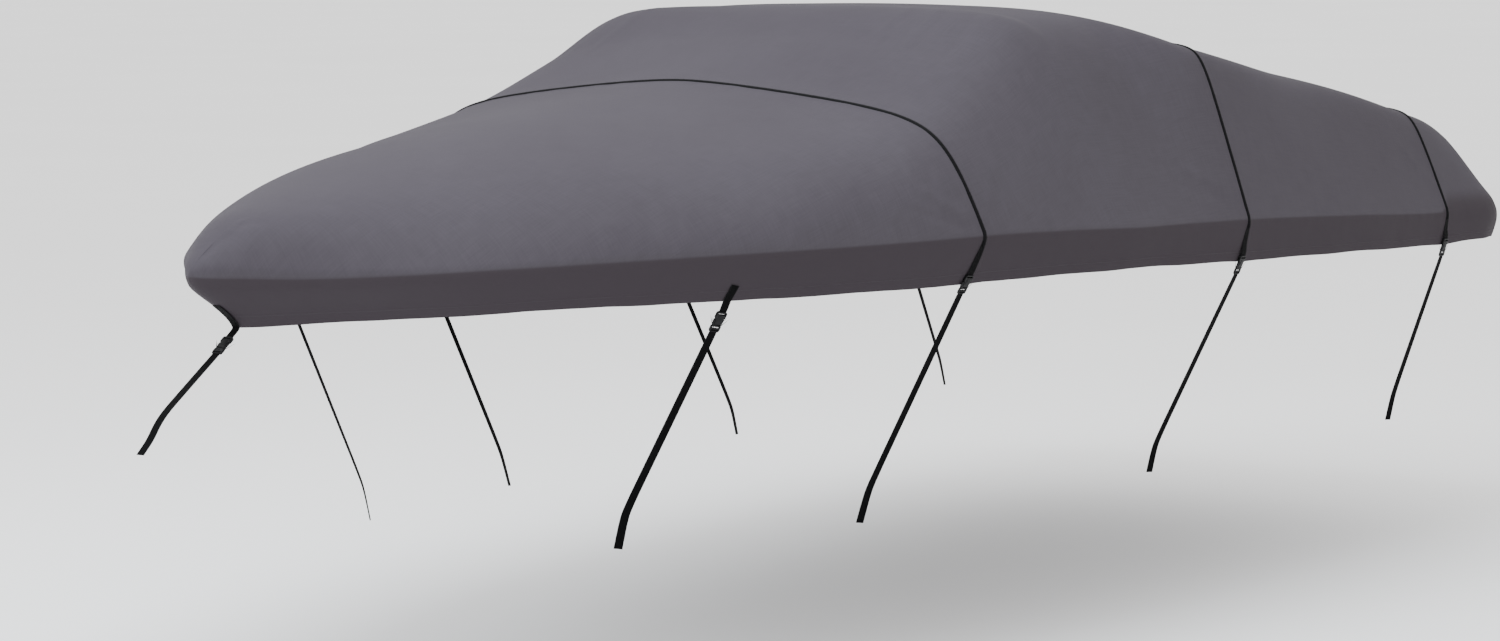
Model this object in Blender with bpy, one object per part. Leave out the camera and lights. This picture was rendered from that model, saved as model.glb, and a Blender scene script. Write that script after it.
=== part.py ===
"""Fitted cover for a runabout boat that stands on its trailer.

Four cloth panels meet at three corded seams. Each panel has a skirt that turns under the
gunwale and ends in its hem. Nine webbing tabs on the skirt carry a buckle and a tie-down
strap each. The boat and the trailer are not modelled, so the cover is hollow and open below.

+X is port, -Y is the bow, +Z is up, all in metres. The origin is the underside of the cloth
where the top of the windshield holds it up. Heights in the tables are above the ground.
"""

import math
from collections import namedtuple

import bmesh
import bpy
from mathutils import Vector

# Cloth and trim
CLOTH = 0.002            # thickness of the coated cloth
SEAM_GAP = 0.0005        # between the edges of two panels
PIPING_WIDTH = 0.010
PIPING_HEIGHT = 0.004
PIPING_LIFT = 0.0005     # between the cloth and the piping that covers its seam
SEAT = 0.016             # strip beside a seam that is kept straight for the piping and the tabs
WEBBING_WIDTH = 0.025
WEBBING = 0.0016         # thickness of the webbing
WEBBING_LIFT = 0.0005    # between the cloth and a tab sewn on it
JOINT_GAP = 0.0004       # between webbing and the buckle that it meets
STRAIGHT_END = 0.007     # webbing that runs straight into its buckle
BEND_EASE = 0.02         # webbing bends over this length on each side of a turn

# Half of the piping's section: share of its width, share of its height
PipingCorner = namedtuple("PipingCorner", "wide high")
PIPING_CORNERS = (
    PipingCorner(-0.50, 0.00),
    PipingCorner(-0.36, 0.75),
    PipingCorner(0.00, 1.00),
    PipingCorner(0.36, 0.75),
    PipingCorner(0.50, 0.00),
)
PIPING_STOP = 0.985      # where it ends on each side, as a share of the way to the gunwale

# Buckles
BUCKLE_LENGTH = 0.062
BUCKLE_WIDTH = 0.034
BUCKLE_DEPTH = 0.008
BUCKLE_STANDOFF = 0.0075  # from the hem's cloth to the middle of the buckle
# One long side of the buckle: share of its length, share of its width from the middle
BuckleCorner = namedtuple("BuckleCorner", "along out")
BUCKLE_CORNERS = (
    BuckleCorner(-0.50, 0.34),
    BuckleCorner(-0.46, 0.45),
    BuckleCorner(-0.20, 0.50),
    BuckleCorner(0.02, 0.42),
    BuckleCorner(0.24, 0.50),
    BuckleCorner(0.46, 0.45),
    BuckleCorner(0.50, 0.34),
)
# Its layers from back to face: share of its depth, and how far the edge is drawn in
BuckleLayer = namedtuple("BuckleLayer", "depth length width")
BUCKLE_LAYERS = (
    BuckleLayer(-0.50, 0.96, 0.86),
    BuckleLayer(-0.26, 1.00, 1.00),
    BuckleLayer(0.26, 1.00, 1.00),
    BuckleLayer(0.50, 0.96, 0.86),
)

# Mesh density
ACROSS_STEPS = 32        # segments from one gunwale to the other
ACROSS_EASE = 1.3        # moves them from the middle towards the shoulders
SKIRT_LEVELS = (0.15, 0.5, 1.0)
BOW_ROWS = 17
WINDSHIELD_ROWS = 12
COCKPIT_ROWS = 9
STERN_ROWS = 9
BOW_CROWDING = 2.0       # rows crowd towards the bow tip
STERN_CROWDING = 1.5     # and towards the transom
SLOPE_STEP = 0.004       # for slopes that are measured between two near points
DEPTH_STEP = 0.02        # the same down the skirt, as a share of its depth
CLOTH_SMOOTHING = math.radians(50)
PIPING_SMOOTHING = math.radians(60)

# Hem
SKIRT_ROLL = 1.35        # how late the skirt turns under, as a power of its depth
HEM_DIP = 0.006          # how far each strap pulls the hem down
HEM_DIP_REACH = 0.11
HEM_STRETCH = 0.2        # the lowest share of the skirt, which gives the hem its direction
HEM_WAVE = 0.002
HEM_WAVE_LENGTH = 0.43

# Sections of the cover from the bow tip to the transom:
#   aft      distance from the bow tip
#   beam     half width at the gunwale
#   rim      height of the gunwale
#   crown    height of the cloth above the gunwale on the centreline
#   shoulder where the side turns into the top, as a share of the half width
#   sharp    how tightly it turns there
#   arch     height of that turn, as a share of the crown
#   drop     depth of the skirt, gunwale to hem
#   tuck     how far the hem sits inside the gunwale
#   rake     how far the hem sits behind the gunwale, around the stem
Station = namedtuple("Station", "aft beam rim crown shoulder sharp arch drop tuck rake")
STATIONS = (
    Station(0.000, 0.000, 1.201, 0.000, 0.680, 1.10, 0.980, 0.115, 0.000, 0.163),
    Station(0.060, 0.080, 1.203, 0.108, 0.700, 1.40, 0.983, 0.113, 0.024, 0.150),
    Station(0.205, 0.216, 1.201, 0.175, 0.707, 1.12, 0.982, 0.106, 0.036, 0.120),
    Station(0.365, 0.376, 1.199, 0.219, 0.718, 0.92, 0.984, 0.105, 0.044, 0.085),
    Station(0.550, 0.532, 1.197, 0.262, 0.735, 0.88, 0.984, 0.106, 0.050, 0.050),
    Station(1.205, 0.875, 1.203, 0.347, 0.805, 0.90, 0.965, 0.098, 0.055, 0.006),
    Station(2.031, 1.061, 1.222, 0.423, 0.874, 2.10, 0.885, 0.124, 0.062, 0.000),
    Station(2.692, 1.115, 1.209, 0.607, 0.855, 3.95, 0.973, 0.125, 0.045, 0.000),
    Station(2.781, 1.119, 1.205, 0.644, 0.853, 4.10, 0.984, 0.125, 0.042, 0.000),
    Station(3.042, 1.124, 1.196, 0.650, 0.834, 4.30, 0.984, 0.125, 0.034, 0.000),
    Station(3.417, 1.134, 1.177, 0.584, 0.850, 5.20, 0.986, 0.121, 0.022, 0.000),
    Station(4.147, 1.130, 1.159, 0.475, 0.858, 4.60, 0.976, 0.123, 0.018, 0.000),
    Station(4.844, 1.108, 1.131, 0.377, 0.882, 4.50, 0.976, 0.125, 0.014, 0.000),
    Station(5.138, 1.106, 1.130, 0.280, 0.858, 3.20, 0.982, 0.120, 0.014, 0.000),
    Station(5.325, 1.063, 1.112, 0.088, 0.877, 1.72, 0.980, 0.110, 0.016, 0.000),
    Station(5.389, 0.978, 1.110, 0.000, 0.880, 1.50, 0.980, 0.108, 0.018, 0.000),
)
SEAM_WINDSHIELD = 2.031
SEAM_COCKPIT = 3.417
SEAM_STERN = 4.844
TRANSOM = STATIONS[-1].aft
SUPPORT_AFT = 2.900      # where the windshield holds the cloth up

# Tie-down straps of one side; the other side mirrors them:
#   aft          distance from the bow tip
#   top          where the tab starts, as a share of the skirt's depth
#   buckle_below middle of the buckle below the hem, along the strap
#   bend_out     half width and height where the strap turns down beside the frame rail
#   bend_up
#   end_out      half width and height of its free end
#   end_up
Strap = namedtuple("Strap", "name aft top buckle_below bend_out bend_up end_out end_up")
STRAPS = (
    Strap("fore", 1.188, 0.60, 0.064, 0.470, 0.515, 0.445, 0.417),
    Strap("mid", SEAM_WINDSHIELD, 0.02, 0.000, 0.678, 0.493, 0.646, 0.393),
    Strap("aft", SEAM_COCKPIT, 0.02, 0.012, 0.818, 0.475, 0.797, 0.385),
    Strap("stern", SEAM_STERN, 0.02, 0.010, 0.920, 0.490, 0.900, 0.400),
)
STRAP_TURN = math.radians(18)   # the straps turn their face this far towards the bow
STRAP_LEVELS = (0.3, 0.7)       # points of its long run, as shares of the way to the rail
TAB_POINTS = 4                  # points of a tab on the skirt
TAB_STOPS = (0.55, 0.98)        # depth where a tab leaves the skirt: buckle at the hem, below it
# The bow strap lies in the middle plane: distances behind the bow tip, and heights
NOSE_BUCKLE_TOP = (0.133, 1.058)
NOSE_BUCKLE_END = (0.084, 1.020)
NOSE_ROUTE = ((-0.118, 0.879), (-0.154, 0.828), (-0.190, 0.795))
NOSE_TAB_LEVELS = (0.72, 0.845, 0.97)   # as shares of the skirt's depth
NOSE_TAB_TURN = ((0.005, 0.003), (0.006, 0.009), (0.001, 0.014))  # past the hem, below it


def monotone_curve(xs, ys):
    """Return a smooth curve through the points that never overshoots them."""
    steps = [b - a for a, b in zip(xs, xs[1:])]
    slopes = [(b - a) / step for a, b, step in zip(ys, ys[1:], steps)]

    def end_slope(near_step, far_step, near, far):
        slope = ((2 * near_step + far_step) * near - near_step * far) / (near_step + far_step)
        if slope * near <= 0:
            return 0.0
        if near * far < 0 and abs(slope) > 3 * abs(near):
            return 3 * near
        return slope

    tangents = [end_slope(steps[0], steps[1], slopes[0], slopes[1])]
    for k in range(1, len(slopes)):
        if slopes[k - 1] * slopes[k] <= 0:
            tangents.append(0.0)
            continue
        before = 2 * steps[k] + steps[k - 1]
        after = steps[k] + 2 * steps[k - 1]
        tangents.append((before + after) / (before / slopes[k - 1] + after / slopes[k]))
    tangents.append(end_slope(steps[-1], steps[-2], slopes[-1], slopes[-2]))

    def curve(x):
        k = 0
        while k < len(steps) - 1 and x > xs[k + 1]:
            k += 1
        t = min(max((x - xs[k]) / steps[k], 0.0), 1.0)
        rise = 3 * t * t - 2 * t ** 3
        lead = (t ** 3 - 2 * t * t + t) * steps[k] * tangents[k]
        trail = (t ** 3 - t * t) * steps[k] * tangents[k + 1]
        return ys[k] + (ys[k + 1] - ys[k]) * rise + lead + trail

    return curve


# The columns run over the root of the distance, which rounds the bow tip
ROOTS = [math.sqrt(station.aft) for station in STATIONS]
COLUMNS = {
    name: monotone_curve(ROOTS, [getattr(station, name) for station in STATIONS])
    for name in Station._fields[1:]
}


def column(name, aft):
    """Value of one column of the station table at a distance from the bow tip."""
    return COLUMNS[name](math.sqrt(min(max(aft, 0.0), TRANSOM)))


SUPPORT_HEIGHT = column("rim", SUPPORT_AFT) + column("crown", SUPPORT_AFT) - CLOTH


def place(out, aft, height):
    """Point of the part's frame from half width, distance aft and height over the ground."""
    return Vector((out, aft - SUPPORT_AFT, height - SUPPORT_HEIGHT))


def deck_point(aft, across):
    """Outer face of the cloth over the deck; across runs from -1 starboard to 1 port."""
    t = abs(across) ** ACROSS_EASE
    beam = column("beam", aft)
    crown = column("crown", aft)
    middle = (1 - t) ** 2
    turn = 2 * column("sharp", aft) * t * (1 - t)
    edge = t * t
    total = middle + turn + edge
    out = (turn * column("shoulder", aft) + edge) * beam / total
    up = (middle + turn * column("arch", aft)) * crown / total
    return place(math.copysign(out, across), aft, column("rim", aft) + up)


def rim_outward(aft, side):
    """Level unit vector away from the boat at the gunwale, on side 1 port or -1 starboard."""
    root = math.sqrt(aft)
    low = max(root - SLOPE_STEP, 0.0)
    high = min(root + SLOPE_STEP, ROOTS[-1])
    widening = COLUMNS["beam"](high) - COLUMNS["beam"](low)
    outward = Vector((high ** 2 - low ** 2, -widening, 0.0)).normalized()
    outward.x *= side
    return outward


def hem_depth(aft):
    """Depth of the skirt, with the dips under the straps and a slight wave between them."""
    depth = column("drop", aft) + HEM_WAVE * math.sin(math.tau * aft / HEM_WAVE_LENGTH)
    for strap in STRAPS:
        depth += HEM_DIP * math.exp(-((aft - strap.aft) / HEM_DIP_REACH) ** 2)
    return depth


def skirt_point(rim, outward, aft, depth):
    """Outer face of the skirt under one gunwale point; depth runs from 0 to 1 at the hem."""
    under = depth ** SKIRT_ROLL
    point = rim - outward * column("tuck", aft) * under
    point.y += column("rake", aft) * under
    point.z -= hem_depth(aft) * depth
    return point


def side_skirt_point(aft, side, depth):
    """Outer face of the skirt on one side of the boat."""
    return skirt_point(deck_point(aft, side), rim_outward(aft, side), aft, depth)


def across_steps():
    """Positions of the columns of cloth vertices."""
    return [2 * k / ACROSS_STEPS - 1 for k in range(ACROSS_STEPS + 1)]


def material(name, colour, roughness, metallic=0.0):
    """Plain Principled material."""
    made = bpy.data.materials.new(name)
    made.use_nodes = True
    shader = made.node_tree.nodes["Principled BSDF"]
    shader.inputs["Base Color"].default_value = (*colour, 1.0)
    shader.inputs["Roughness"].default_value = roughness
    shader.inputs["Metallic"].default_value = metallic
    made.diffuse_color = (*colour, 1.0)
    return made


def add_object(name, bm, surface):
    """Turn a bmesh into a named object of the scene."""
    mesh = bpy.data.meshes.new(name)
    bm.to_mesh(mesh)
    bm.free()
    mesh.materials.append(surface)
    made = bpy.data.objects.new(name, mesh)
    bpy.context.scene.collection.objects.link(made)
    return made


def smooth(made, angle):
    """Shade smooth, apart from edges sharper than the angle."""
    made.data.shade_smooth()
    made.data.set_sharp_from_angle(angle=angle)


def seam_rows(front, back, count):
    """Rows of a panel whose front and back edges are seams, with a straight strip at each."""
    edge = SEAM_GAP / 2
    between = [front + (back - front) * k / count for k in range(1, count)]
    return [front + edge, front + SEAT, *between, back - SEAT, back - edge]


def cloth_panel(name, rows, surface):
    """One panel of cloth with its skirt; a panel that reaches the transom closes over it."""
    columns = across_steps()
    bm = bmesh.new()
    grid = []
    for aft in rows:
        if aft == 0.0:
            tip = bm.verts.new(deck_point(0.0, 0.0))
            grid.append([tip] * len(columns))
        else:
            grid.append([bm.verts.new(deck_point(aft, across)) for across in columns])
    for front, back in zip(grid, grid[1:]):
        for k in range(ACROSS_STEPS):
            corners = [front[k], front[k + 1], back[k + 1], back[k]]
            bm.faces.new(list(dict.fromkeys(corners)))
    for chain in rim_chains(rows, grid):
        add_skirt(bm, chain)
    made = add_object(name, bm, surface)
    thick = made.modifiers.new("cloth", "SOLIDIFY")
    thick.thickness = CLOTH
    thick.offset = -1.0
    thick.use_even_offset = True
    smooth(made, CLOTH_SMOOTHING)
    return made


def rim_chains(rows, grid):
    """Gunwale vertices with their distance aft and outward vector, clockwise from above."""
    port = [(row[-1], aft, rim_outward(aft, 1)) for row, aft in zip(grid, rows)]
    starboard = [(row[0], aft, rim_outward(aft, -1)) for row, aft in zip(grid, rows)]
    starboard.reverse()
    if rows[0] == 0.0:
        return [starboard + port[1:]]
    if rows[-1] < TRANSOM:
        return [port, starboard]
    behind = Vector((0.0, 1.0, 0.0))
    transom = [(vert, TRANSOM, behind) for vert in reversed(grid[-1][1:-1])]
    corners = [
        (vert, aft, (outward + behind).normalized())
        for vert, aft, outward in (port[-1], starboard[0])
    ]
    return [port[:-1] + corners[:1] + transom + corners[1:] + starboard[1:]]


def add_skirt(bm, chain):
    """Hang the skirt from a chain of gunwale vertices."""
    upper = [vert for vert, aft, outward in chain]
    rims = [vert.co.copy() for vert in upper]
    for depth in SKIRT_LEVELS:
        lower = [
            bm.verts.new(skirt_point(rim, outward, aft, depth))
            for rim, (vert, aft, outward) in zip(rims, chain)
        ]
        for k in range(len(chain) - 1):
            bm.faces.new((upper[k], lower[k], lower[k + 1], upper[k + 1]))
        upper = lower


def seam_piping(name, aft, surface):
    """Rounded cord on top of a seam, from one gunwale to the other."""
    bm = bmesh.new()
    rings = []
    for across in across_steps():
        across = min(max(across, -PIPING_STOP), PIPING_STOP)
        middle = deck_point(aft, across)
        behind = deck_point(aft + SLOPE_STEP, across)
        along = (behind - deck_point(aft - SLOPE_STEP, across)).normalized()
        to_port = deck_point(aft, across + SLOPE_STEP)
        sideways = to_port - deck_point(aft, across - SLOPE_STEP)
        up = sideways.cross(along).normalized()
        ring = []
        for corner in PIPING_CORNERS:
            lift = PIPING_LIFT + corner.high * PIPING_HEIGHT
            shift = along * corner.wide * PIPING_WIDTH
            ring.append(bm.verts.new(middle + shift + up * lift))
        rings.append(ring)
    skin_rings(bm, rings)
    made = add_object(name, bm, surface)
    smooth(made, PIPING_SMOOTHING)
    return made


def skin_rings(bm, rings):
    """Join rings of vertices into a closed solid with flat ends."""
    count = len(rings[0])
    for near, far in zip(rings, rings[1:]):
        for k in range(count):
            after = (k + 1) % count
            bm.faces.new((near[k], near[after], far[after], far[k]))
    bm.faces.new(list(reversed(rings[0])))
    bm.faces.new(rings[-1])
    bmesh.ops.recalc_face_normals(bm, faces=bm.faces[:])


def ribbon(name, route, wide, surface):
    """Flat webbing along a route, with the two ends of its width given for each point."""
    bm = bmesh.new()
    rings = []
    for k, point in enumerate(route):
        before = route[max(k - 1, 0)]
        after = route[min(k + 1, len(route) - 1)]
        along = (after - before).normalized()
        width = wide[k] - along * wide[k].dot(along)
        width.normalize()
        face = along.cross(width)
        half = width * WEBBING_WIDTH / 2
        thick = face * WEBBING / 2
        corners = (point - half - thick, point + half - thick, point + half + thick,
                   point - half + thick)
        rings.append([bm.verts.new(corner) for corner in corners])
    skin_rings(bm, rings)
    return add_object(name, bm, surface)


def buckle(name, middle, along, wide, surface):
    """Release buckle: a waisted plate with a raised middle, set along its strap."""
    width = (wide - along * wide.dot(along)).normalized()
    face = along.cross(width)
    mirrored = [BuckleCorner(corner.along, -corner.out) for corner in BUCKLE_CORNERS]
    loop = [*BUCKLE_CORNERS, *reversed(mirrored)]
    bm = bmesh.new()
    rings = []
    for layer in BUCKLE_LAYERS:
        centre = middle + face * layer.depth * BUCKLE_DEPTH
        long_way = along * layer.length * BUCKLE_LENGTH
        wide_way = width * layer.width * BUCKLE_WIDTH
        ring = [
            bm.verts.new(centre + long_way * corner.along + wide_way * corner.out)
            for corner in loop
        ]
        rings.append(ring)
    skin_rings(bm, rings)
    return add_object(name, bm, surface)


def strap_frame(strap, side):
    """Middle of a strap's buckle with the directions along the strap and across it."""
    outward = rim_outward(strap.aft, side)
    hem = side_skirt_point(strap.aft, side, 1.0)
    above = side_skirt_point(strap.aft, side, 1.0 - HEM_STRETCH)
    bend = place(side * strap.bend_out, strap.aft, strap.bend_up)
    start = hem + outward * BUCKLE_STANDOFF
    skirt_run = (hem - above).normalized()
    strap_run = (bend - start).normalized()
    share = min(strap.buckle_below / BUCKLE_LENGTH, 1.0) / 2 + 0.5
    along = (skirt_run * (1 - share) + strap_run * share).normalized()
    middle = start + strap_run * strap.buckle_below
    return middle, along, level_run(outward, side, 0.0)


def level_run(outward, side, turn):
    """Level unit vector aft along the gunwale, turned to face the bow by an angle."""
    angle = math.atan2(outward.y, abs(outward.x)) - turn
    return Vector((-side * math.sin(angle), math.cos(angle), 0.0))


def tab_route(strap, side, end, along):
    """Points of a tab: down the outside of the skirt, then away from it to its buckle."""
    outward = rim_outward(strap.aft, side)
    lift = WEBBING_LIFT + WEBBING / 2
    route = []
    last = TAB_STOPS[0] if strap.buckle_below < BUCKLE_LENGTH / 2 else TAB_STOPS[1]
    for k in range(TAB_POINTS):
        depth = strap.top + (last - strap.top) * k / (TAB_POINTS - 1)
        here = side_skirt_point(strap.aft, side, depth)
        there = side_skirt_point(strap.aft, side, depth + DEPTH_STEP)
        run = (there - here).normalized()
        away = (outward - run * outward.dot(run)).normalized()
        route.append(here + away * lift)
    route += [end - along * STRAIGHT_END, end]
    return route


def side_strap(strap, side, webbing, plastic):
    """Tab, buckle and strap at one place of one side."""
    side_name = "port" if side > 0 else "starboard"
    label = f"{strap.name}_{side_name}"
    middle, along, wide = strap_frame(strap, side)
    reach = along * (BUCKLE_LENGTH / 2 + JOINT_GAP)
    tab = tab_route(strap, side, middle - reach, along)
    ribbon(f"tab_{label}", tab, [wide] * len(tab), webbing)
    buckle(f"buckle_{label}", middle, along, wide, plastic)
    start = middle + reach
    bend = place(side * strap.bend_out, strap.aft, strap.bend_up)
    end = place(side * strap.end_out, strap.aft, strap.end_up)
    above_bend = bend + (start - bend).normalized() * BEND_EASE
    below_bend = bend + (end - bend).normalized() * BEND_EASE
    route = [start, start + along * STRAIGHT_END]
    route += [start.lerp(above_bend, level) for level in STRAP_LEVELS]
    route += [above_bend, below_bend, end]
    outward = rim_outward(strap.aft, side)
    turns = [STRAP_TURN * k / (len(route) - 1) for k in range(len(route))]
    runs = [level_run(outward, side, turn) for turn in turns]
    ribbon(f"strap_{label}", route, runs, webbing)


def nose_strap(webbing, plastic):
    """Tab, buckle and strap at the bow tip, all in the middle plane."""
    wide = Vector((1.0, 0.0, 0.0))
    top = place(0.0, *NOSE_BUCKLE_TOP)
    end = place(0.0, *NOSE_BUCKLE_END)
    middle = (top + end) / 2
    along = (end - top).normalized()
    reach = along * (BUCKLE_LENGTH / 2 + JOINT_GAP)
    lift = WEBBING_LIFT + WEBBING / 2
    tab = []
    for depth in NOSE_TAB_LEVELS:
        here = side_skirt_point(0.0, 1, depth)
        run = (side_skirt_point(0.0, 1, depth + DEPTH_STEP) - here).normalized()
        below = run.cross(wide)
        tab.append(here + below * lift)
    hem = side_skirt_point(0.0, 1, 1.0)
    for on, down in NOSE_TAB_TURN:
        tab.append(hem + run * on + below * down)
    tab += [middle - reach - along * STRAIGHT_END, middle - reach]
    ribbon("tab_nose", tab, [wide] * len(tab), webbing)
    buckle("buckle_nose", middle, along, wide, plastic)
    start = middle + reach
    route = [start, start + along * STRAIGHT_END]
    route += [place(0.0, *point) for point in NOSE_ROUTE]
    ribbon("strap_nose", route, [wide] * len(route), webbing)


def build():
    """Model the whole cover."""
    for old in list(bpy.data.objects):
        bpy.data.objects.remove(old, do_unlink=True)
    cloth = material("coated_cloth", (0.105, 0.100, 0.112), 0.62)
    cord = material("piping_cord", (0.012, 0.011, 0.014), 0.55)
    webbing = material("webbing", (0.010, 0.010, 0.012), 0.70)
    plastic = material("buckle_plastic", (0.012, 0.012, 0.013), 0.35)

    bow_rows = [SEAM_WINDSHIELD * (k / BOW_ROWS) ** BOW_CROWDING for k in range(BOW_ROWS)]
    bow_rows += [SEAM_WINDSHIELD - SEAT, SEAM_WINDSHIELD - SEAM_GAP / 2]
    cloth_panel("panel_bow", bow_rows, cloth)
    rows = seam_rows(SEAM_WINDSHIELD, SEAM_COCKPIT, WINDSHIELD_ROWS)
    cloth_panel("panel_windshield", rows, cloth)
    rows = seam_rows(SEAM_COCKPIT, SEAM_STERN, COCKPIT_ROWS)
    cloth_panel("panel_cockpit", rows, cloth)
    stern_rows = [SEAM_STERN + SEAM_GAP / 2, SEAM_STERN + SEAT]
    for k in range(1, STERN_ROWS):
        share = 1 - (1 - k / STERN_ROWS) ** STERN_CROWDING
        stern_rows.append(SEAM_STERN + (TRANSOM - SEAM_STERN) * share)
    cloth_panel("panel_stern", [*stern_rows, TRANSOM], cloth)

    seam_piping("piping_windshield", SEAM_WINDSHIELD, cord)
    seam_piping("piping_cockpit", SEAM_COCKPIT, cord)
    seam_piping("piping_stern", SEAM_STERN, cord)

    for strap in STRAPS:
        for side in (1, -1):
            side_strap(strap, side, webbing, plastic)
    nose_strap(webbing, plastic)


build()
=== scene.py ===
"""Looks of a fitted boat cover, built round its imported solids.

Each panel of cloth is one continuous sheet with its skirt and hem, close to its solid and
fitted more finely to the photo, with rolled gunwales, seams, stitching and creases.
Metres, +X port, -Y bow.
"""

import math
import random
from collections import namedtuple

import bmesh
import bpy
import numpy as np
from mathutils import Matrix, Vector, noise


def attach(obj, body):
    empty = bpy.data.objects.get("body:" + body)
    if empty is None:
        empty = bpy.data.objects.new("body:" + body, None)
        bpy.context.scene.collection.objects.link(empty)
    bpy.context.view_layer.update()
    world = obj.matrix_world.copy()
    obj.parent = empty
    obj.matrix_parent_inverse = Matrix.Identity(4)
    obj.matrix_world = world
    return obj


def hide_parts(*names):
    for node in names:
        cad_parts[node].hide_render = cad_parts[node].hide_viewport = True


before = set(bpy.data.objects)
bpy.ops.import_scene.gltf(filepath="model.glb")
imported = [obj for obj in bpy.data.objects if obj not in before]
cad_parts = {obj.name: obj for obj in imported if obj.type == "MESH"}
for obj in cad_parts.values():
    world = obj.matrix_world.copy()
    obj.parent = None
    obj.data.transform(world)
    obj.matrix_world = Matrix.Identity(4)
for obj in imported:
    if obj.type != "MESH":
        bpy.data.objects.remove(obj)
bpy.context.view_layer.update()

# -------- the cover's own sizes

SHEET = 0.0012           # how thick the cloth is shown
SEAM_WINDSHIELD = 2.031
SEAM_COCKPIT = 3.417
SEAM_STERN = 4.844
SUPPORT_AFT = 2.900
SUPPORT_HEIGHT = 1.8473
ACROSS_EASE = 1.3
SKIRT_ROLL = 1.35
CENTRE_ROUND = 0.12      # reach of the soft turn over the centreline
LEAST_REACH = 0.05       # of a shoulder, for the slope at the centreline
HEM_DIP = 0.002
HEM_DIP_REACH = 0.08
HEM_WAVE = 0.0008
HEM_WAVE_LENGTH = 0.43
HEM_STRETCH = 0.2

# Sections. These values were worked out by least squares from points and tones of the photo,
# and rounded. Columns: distance aft, half width, gunwale height, crown over it, place,
# tightness and height of the shoulder, skirt's depth, tuck and rake, half length of the
# rounded turn over the gunwale, and how far the skirt sweeps in an S rather than a plain curve
Station = namedtuple(
    "Station", "aft beam rim crown shoulder sharp arch drop tuck rake roll sweep")
STATIONS = [Station(*row) for row in (
    (0.000, 0.000, 1.223, 0.000, 0.680, 1.10, 0.980, 0.143, 0.000, 0.160, 0.024, 0.72),
    (0.060, 0.088, 1.220, 0.069, 0.701, 1.30, 0.981, 0.136, 0.022, 0.142, 0.032, 0.72),
    (0.205, 0.226, 1.213, 0.153, 0.698, 1.31, 0.987, 0.123, 0.034, 0.125, 0.027, 0.68),
    (0.365, 0.390, 1.218, 0.184, 0.649, 1.27, 0.943, 0.121, 0.038, 0.086, 0.024, 0.50),
    (0.550, 0.532, 1.224, 0.209, 0.760, 0.96, 0.959, 0.118, 0.046, 0.026, 0.020, 0.25),
    (1.205, 0.862, 1.233, 0.308, 0.937, 0.89, 0.854, 0.127, 0.051, 0.005, 0.016, 0.00),
    (1.620, 0.983, 1.232, 0.364, 0.917, 2.11, 0.717, 0.134, 0.060, 0.001, 0.015, 0.00),
    (2.031, 1.058, 1.231, 0.419, 0.855, 3.46, 0.796, 0.137, 0.065, 0.000, 0.015, 0.00),
    (2.400, 1.091, 1.222, 0.540, 0.766, 4.42, 0.909, 0.133, 0.056, 0.000, 0.015, 0.00),
    (2.692, 1.111, 1.210, 0.633, 0.714, 5.40, 1.000, 0.126, 0.045, 0.000, 0.015, 0.00),
    (2.781, 1.117, 1.206, 0.636, 0.724, 4.50, 0.997, 0.123, 0.042, 0.000, 0.015, 0.00),
    (3.042, 1.120, 1.200, 0.644, 0.717, 4.54, 1.001, 0.126, 0.034, 0.000, 0.015, 0.00),
    (3.417, 1.130, 1.189, 0.548, 0.843, 11.26, 0.974, 0.129, 0.022, 0.000, 0.015, 0.00),
    (4.147, 1.131, 1.155, 0.492, 0.840, 5.53, 0.933, 0.119, 0.018, 0.000, 0.015, 0.00),
    (4.844, 1.109, 1.120, 0.369, 0.874, 8.76, 0.937, 0.109, 0.014, 0.000, 0.018, 0.00),
    (5.138, 1.119, 1.117, 0.281, 0.842, 7.55, 0.989, 0.109, 0.026, 0.000, 0.036, 0.00),
    (5.325, 1.082, 1.108, 0.098, 0.882, 1.76, 0.982, 0.104, 0.034, 0.000, 0.062, 0.00),
    (5.389, 0.995, 1.101, 0.000, 0.889, 1.42, 0.980, 0.111, 0.034, 0.000, 0.060, 0.00),
)]
TRANSOM = STATIONS[-1].aft

# Straps, from points read off the photo and put in metres through the fitted camera: distance
# aft, tab's start down the skirt, how far the tab leans to the bow, buckle below the hem, where
# the strap turns down and where it ends (half width, height), its length
Strap = namedtuple(
    "Strap", "name aft top lean buckle_below bend_out bend_up end_out end_up length")
STRAPS = (
    Strap("fore", 1.168, 0.66, 0.016, 0.064, 0.470, 0.515, 0.445, 0.417, 0.70),
    Strap("mid", SEAM_WINDSHIELD, 0.02, 0.018, 0.000, 0.678, 0.493, 0.646, 0.393, 0.77),
    Strap("aft", SEAM_COCKPIT, 0.02, 0.022, 0.012, 0.818, 0.475, 0.797, 0.385, 0.71),
    Strap("stern", SEAM_STERN, 0.02, 0.008, 0.010, 0.920, 0.490, 0.900, 0.400, 0.60),
)
STRAP_TURN = math.radians(18)  # how far each strap's face turns on its way down
NOSE_BUCKLE_TOP = (0.133, 1.058)
NOSE_BUCKLE_END = (0.084, 1.020)
NOSE_ROUTE = ((-0.118, 0.879), (-0.154, 0.828), (-0.190, 0.795))
NOSE_TAB_LEVELS = (0.56, 0.67, 0.78, 0.89, 0.97, 1.01)
TAB_STOPS = (0.55, 0.98)
WEBBING_WIDTH = 0.025
WEBBING = 0.0016
WEBBING_LIFT = 0.0005
WEBBING_STEP = 0.005     # of the webbing's mesh
WEBBING_SHARP = math.radians(60)
WORN_EDGE = 0.88         # from this share of the half width outwards
TAB_SEAM_WIDTH = 0.012   # where a tab is sewn, folded, into the end of a seam
TAB_WIDENING = 4.5       # points of the tab over which it reaches its full width
TAB_POINTS = 6           # on the skirt
TAB_LIFT = 0.0008
SEAM_TAB_TOP = 0.1       # tabs that start above this level are sewn into a seam
DEPTH_PROBE = 0.02       # of the skirt, for its slope
BUCKLE_LENGTH = 0.062
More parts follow.
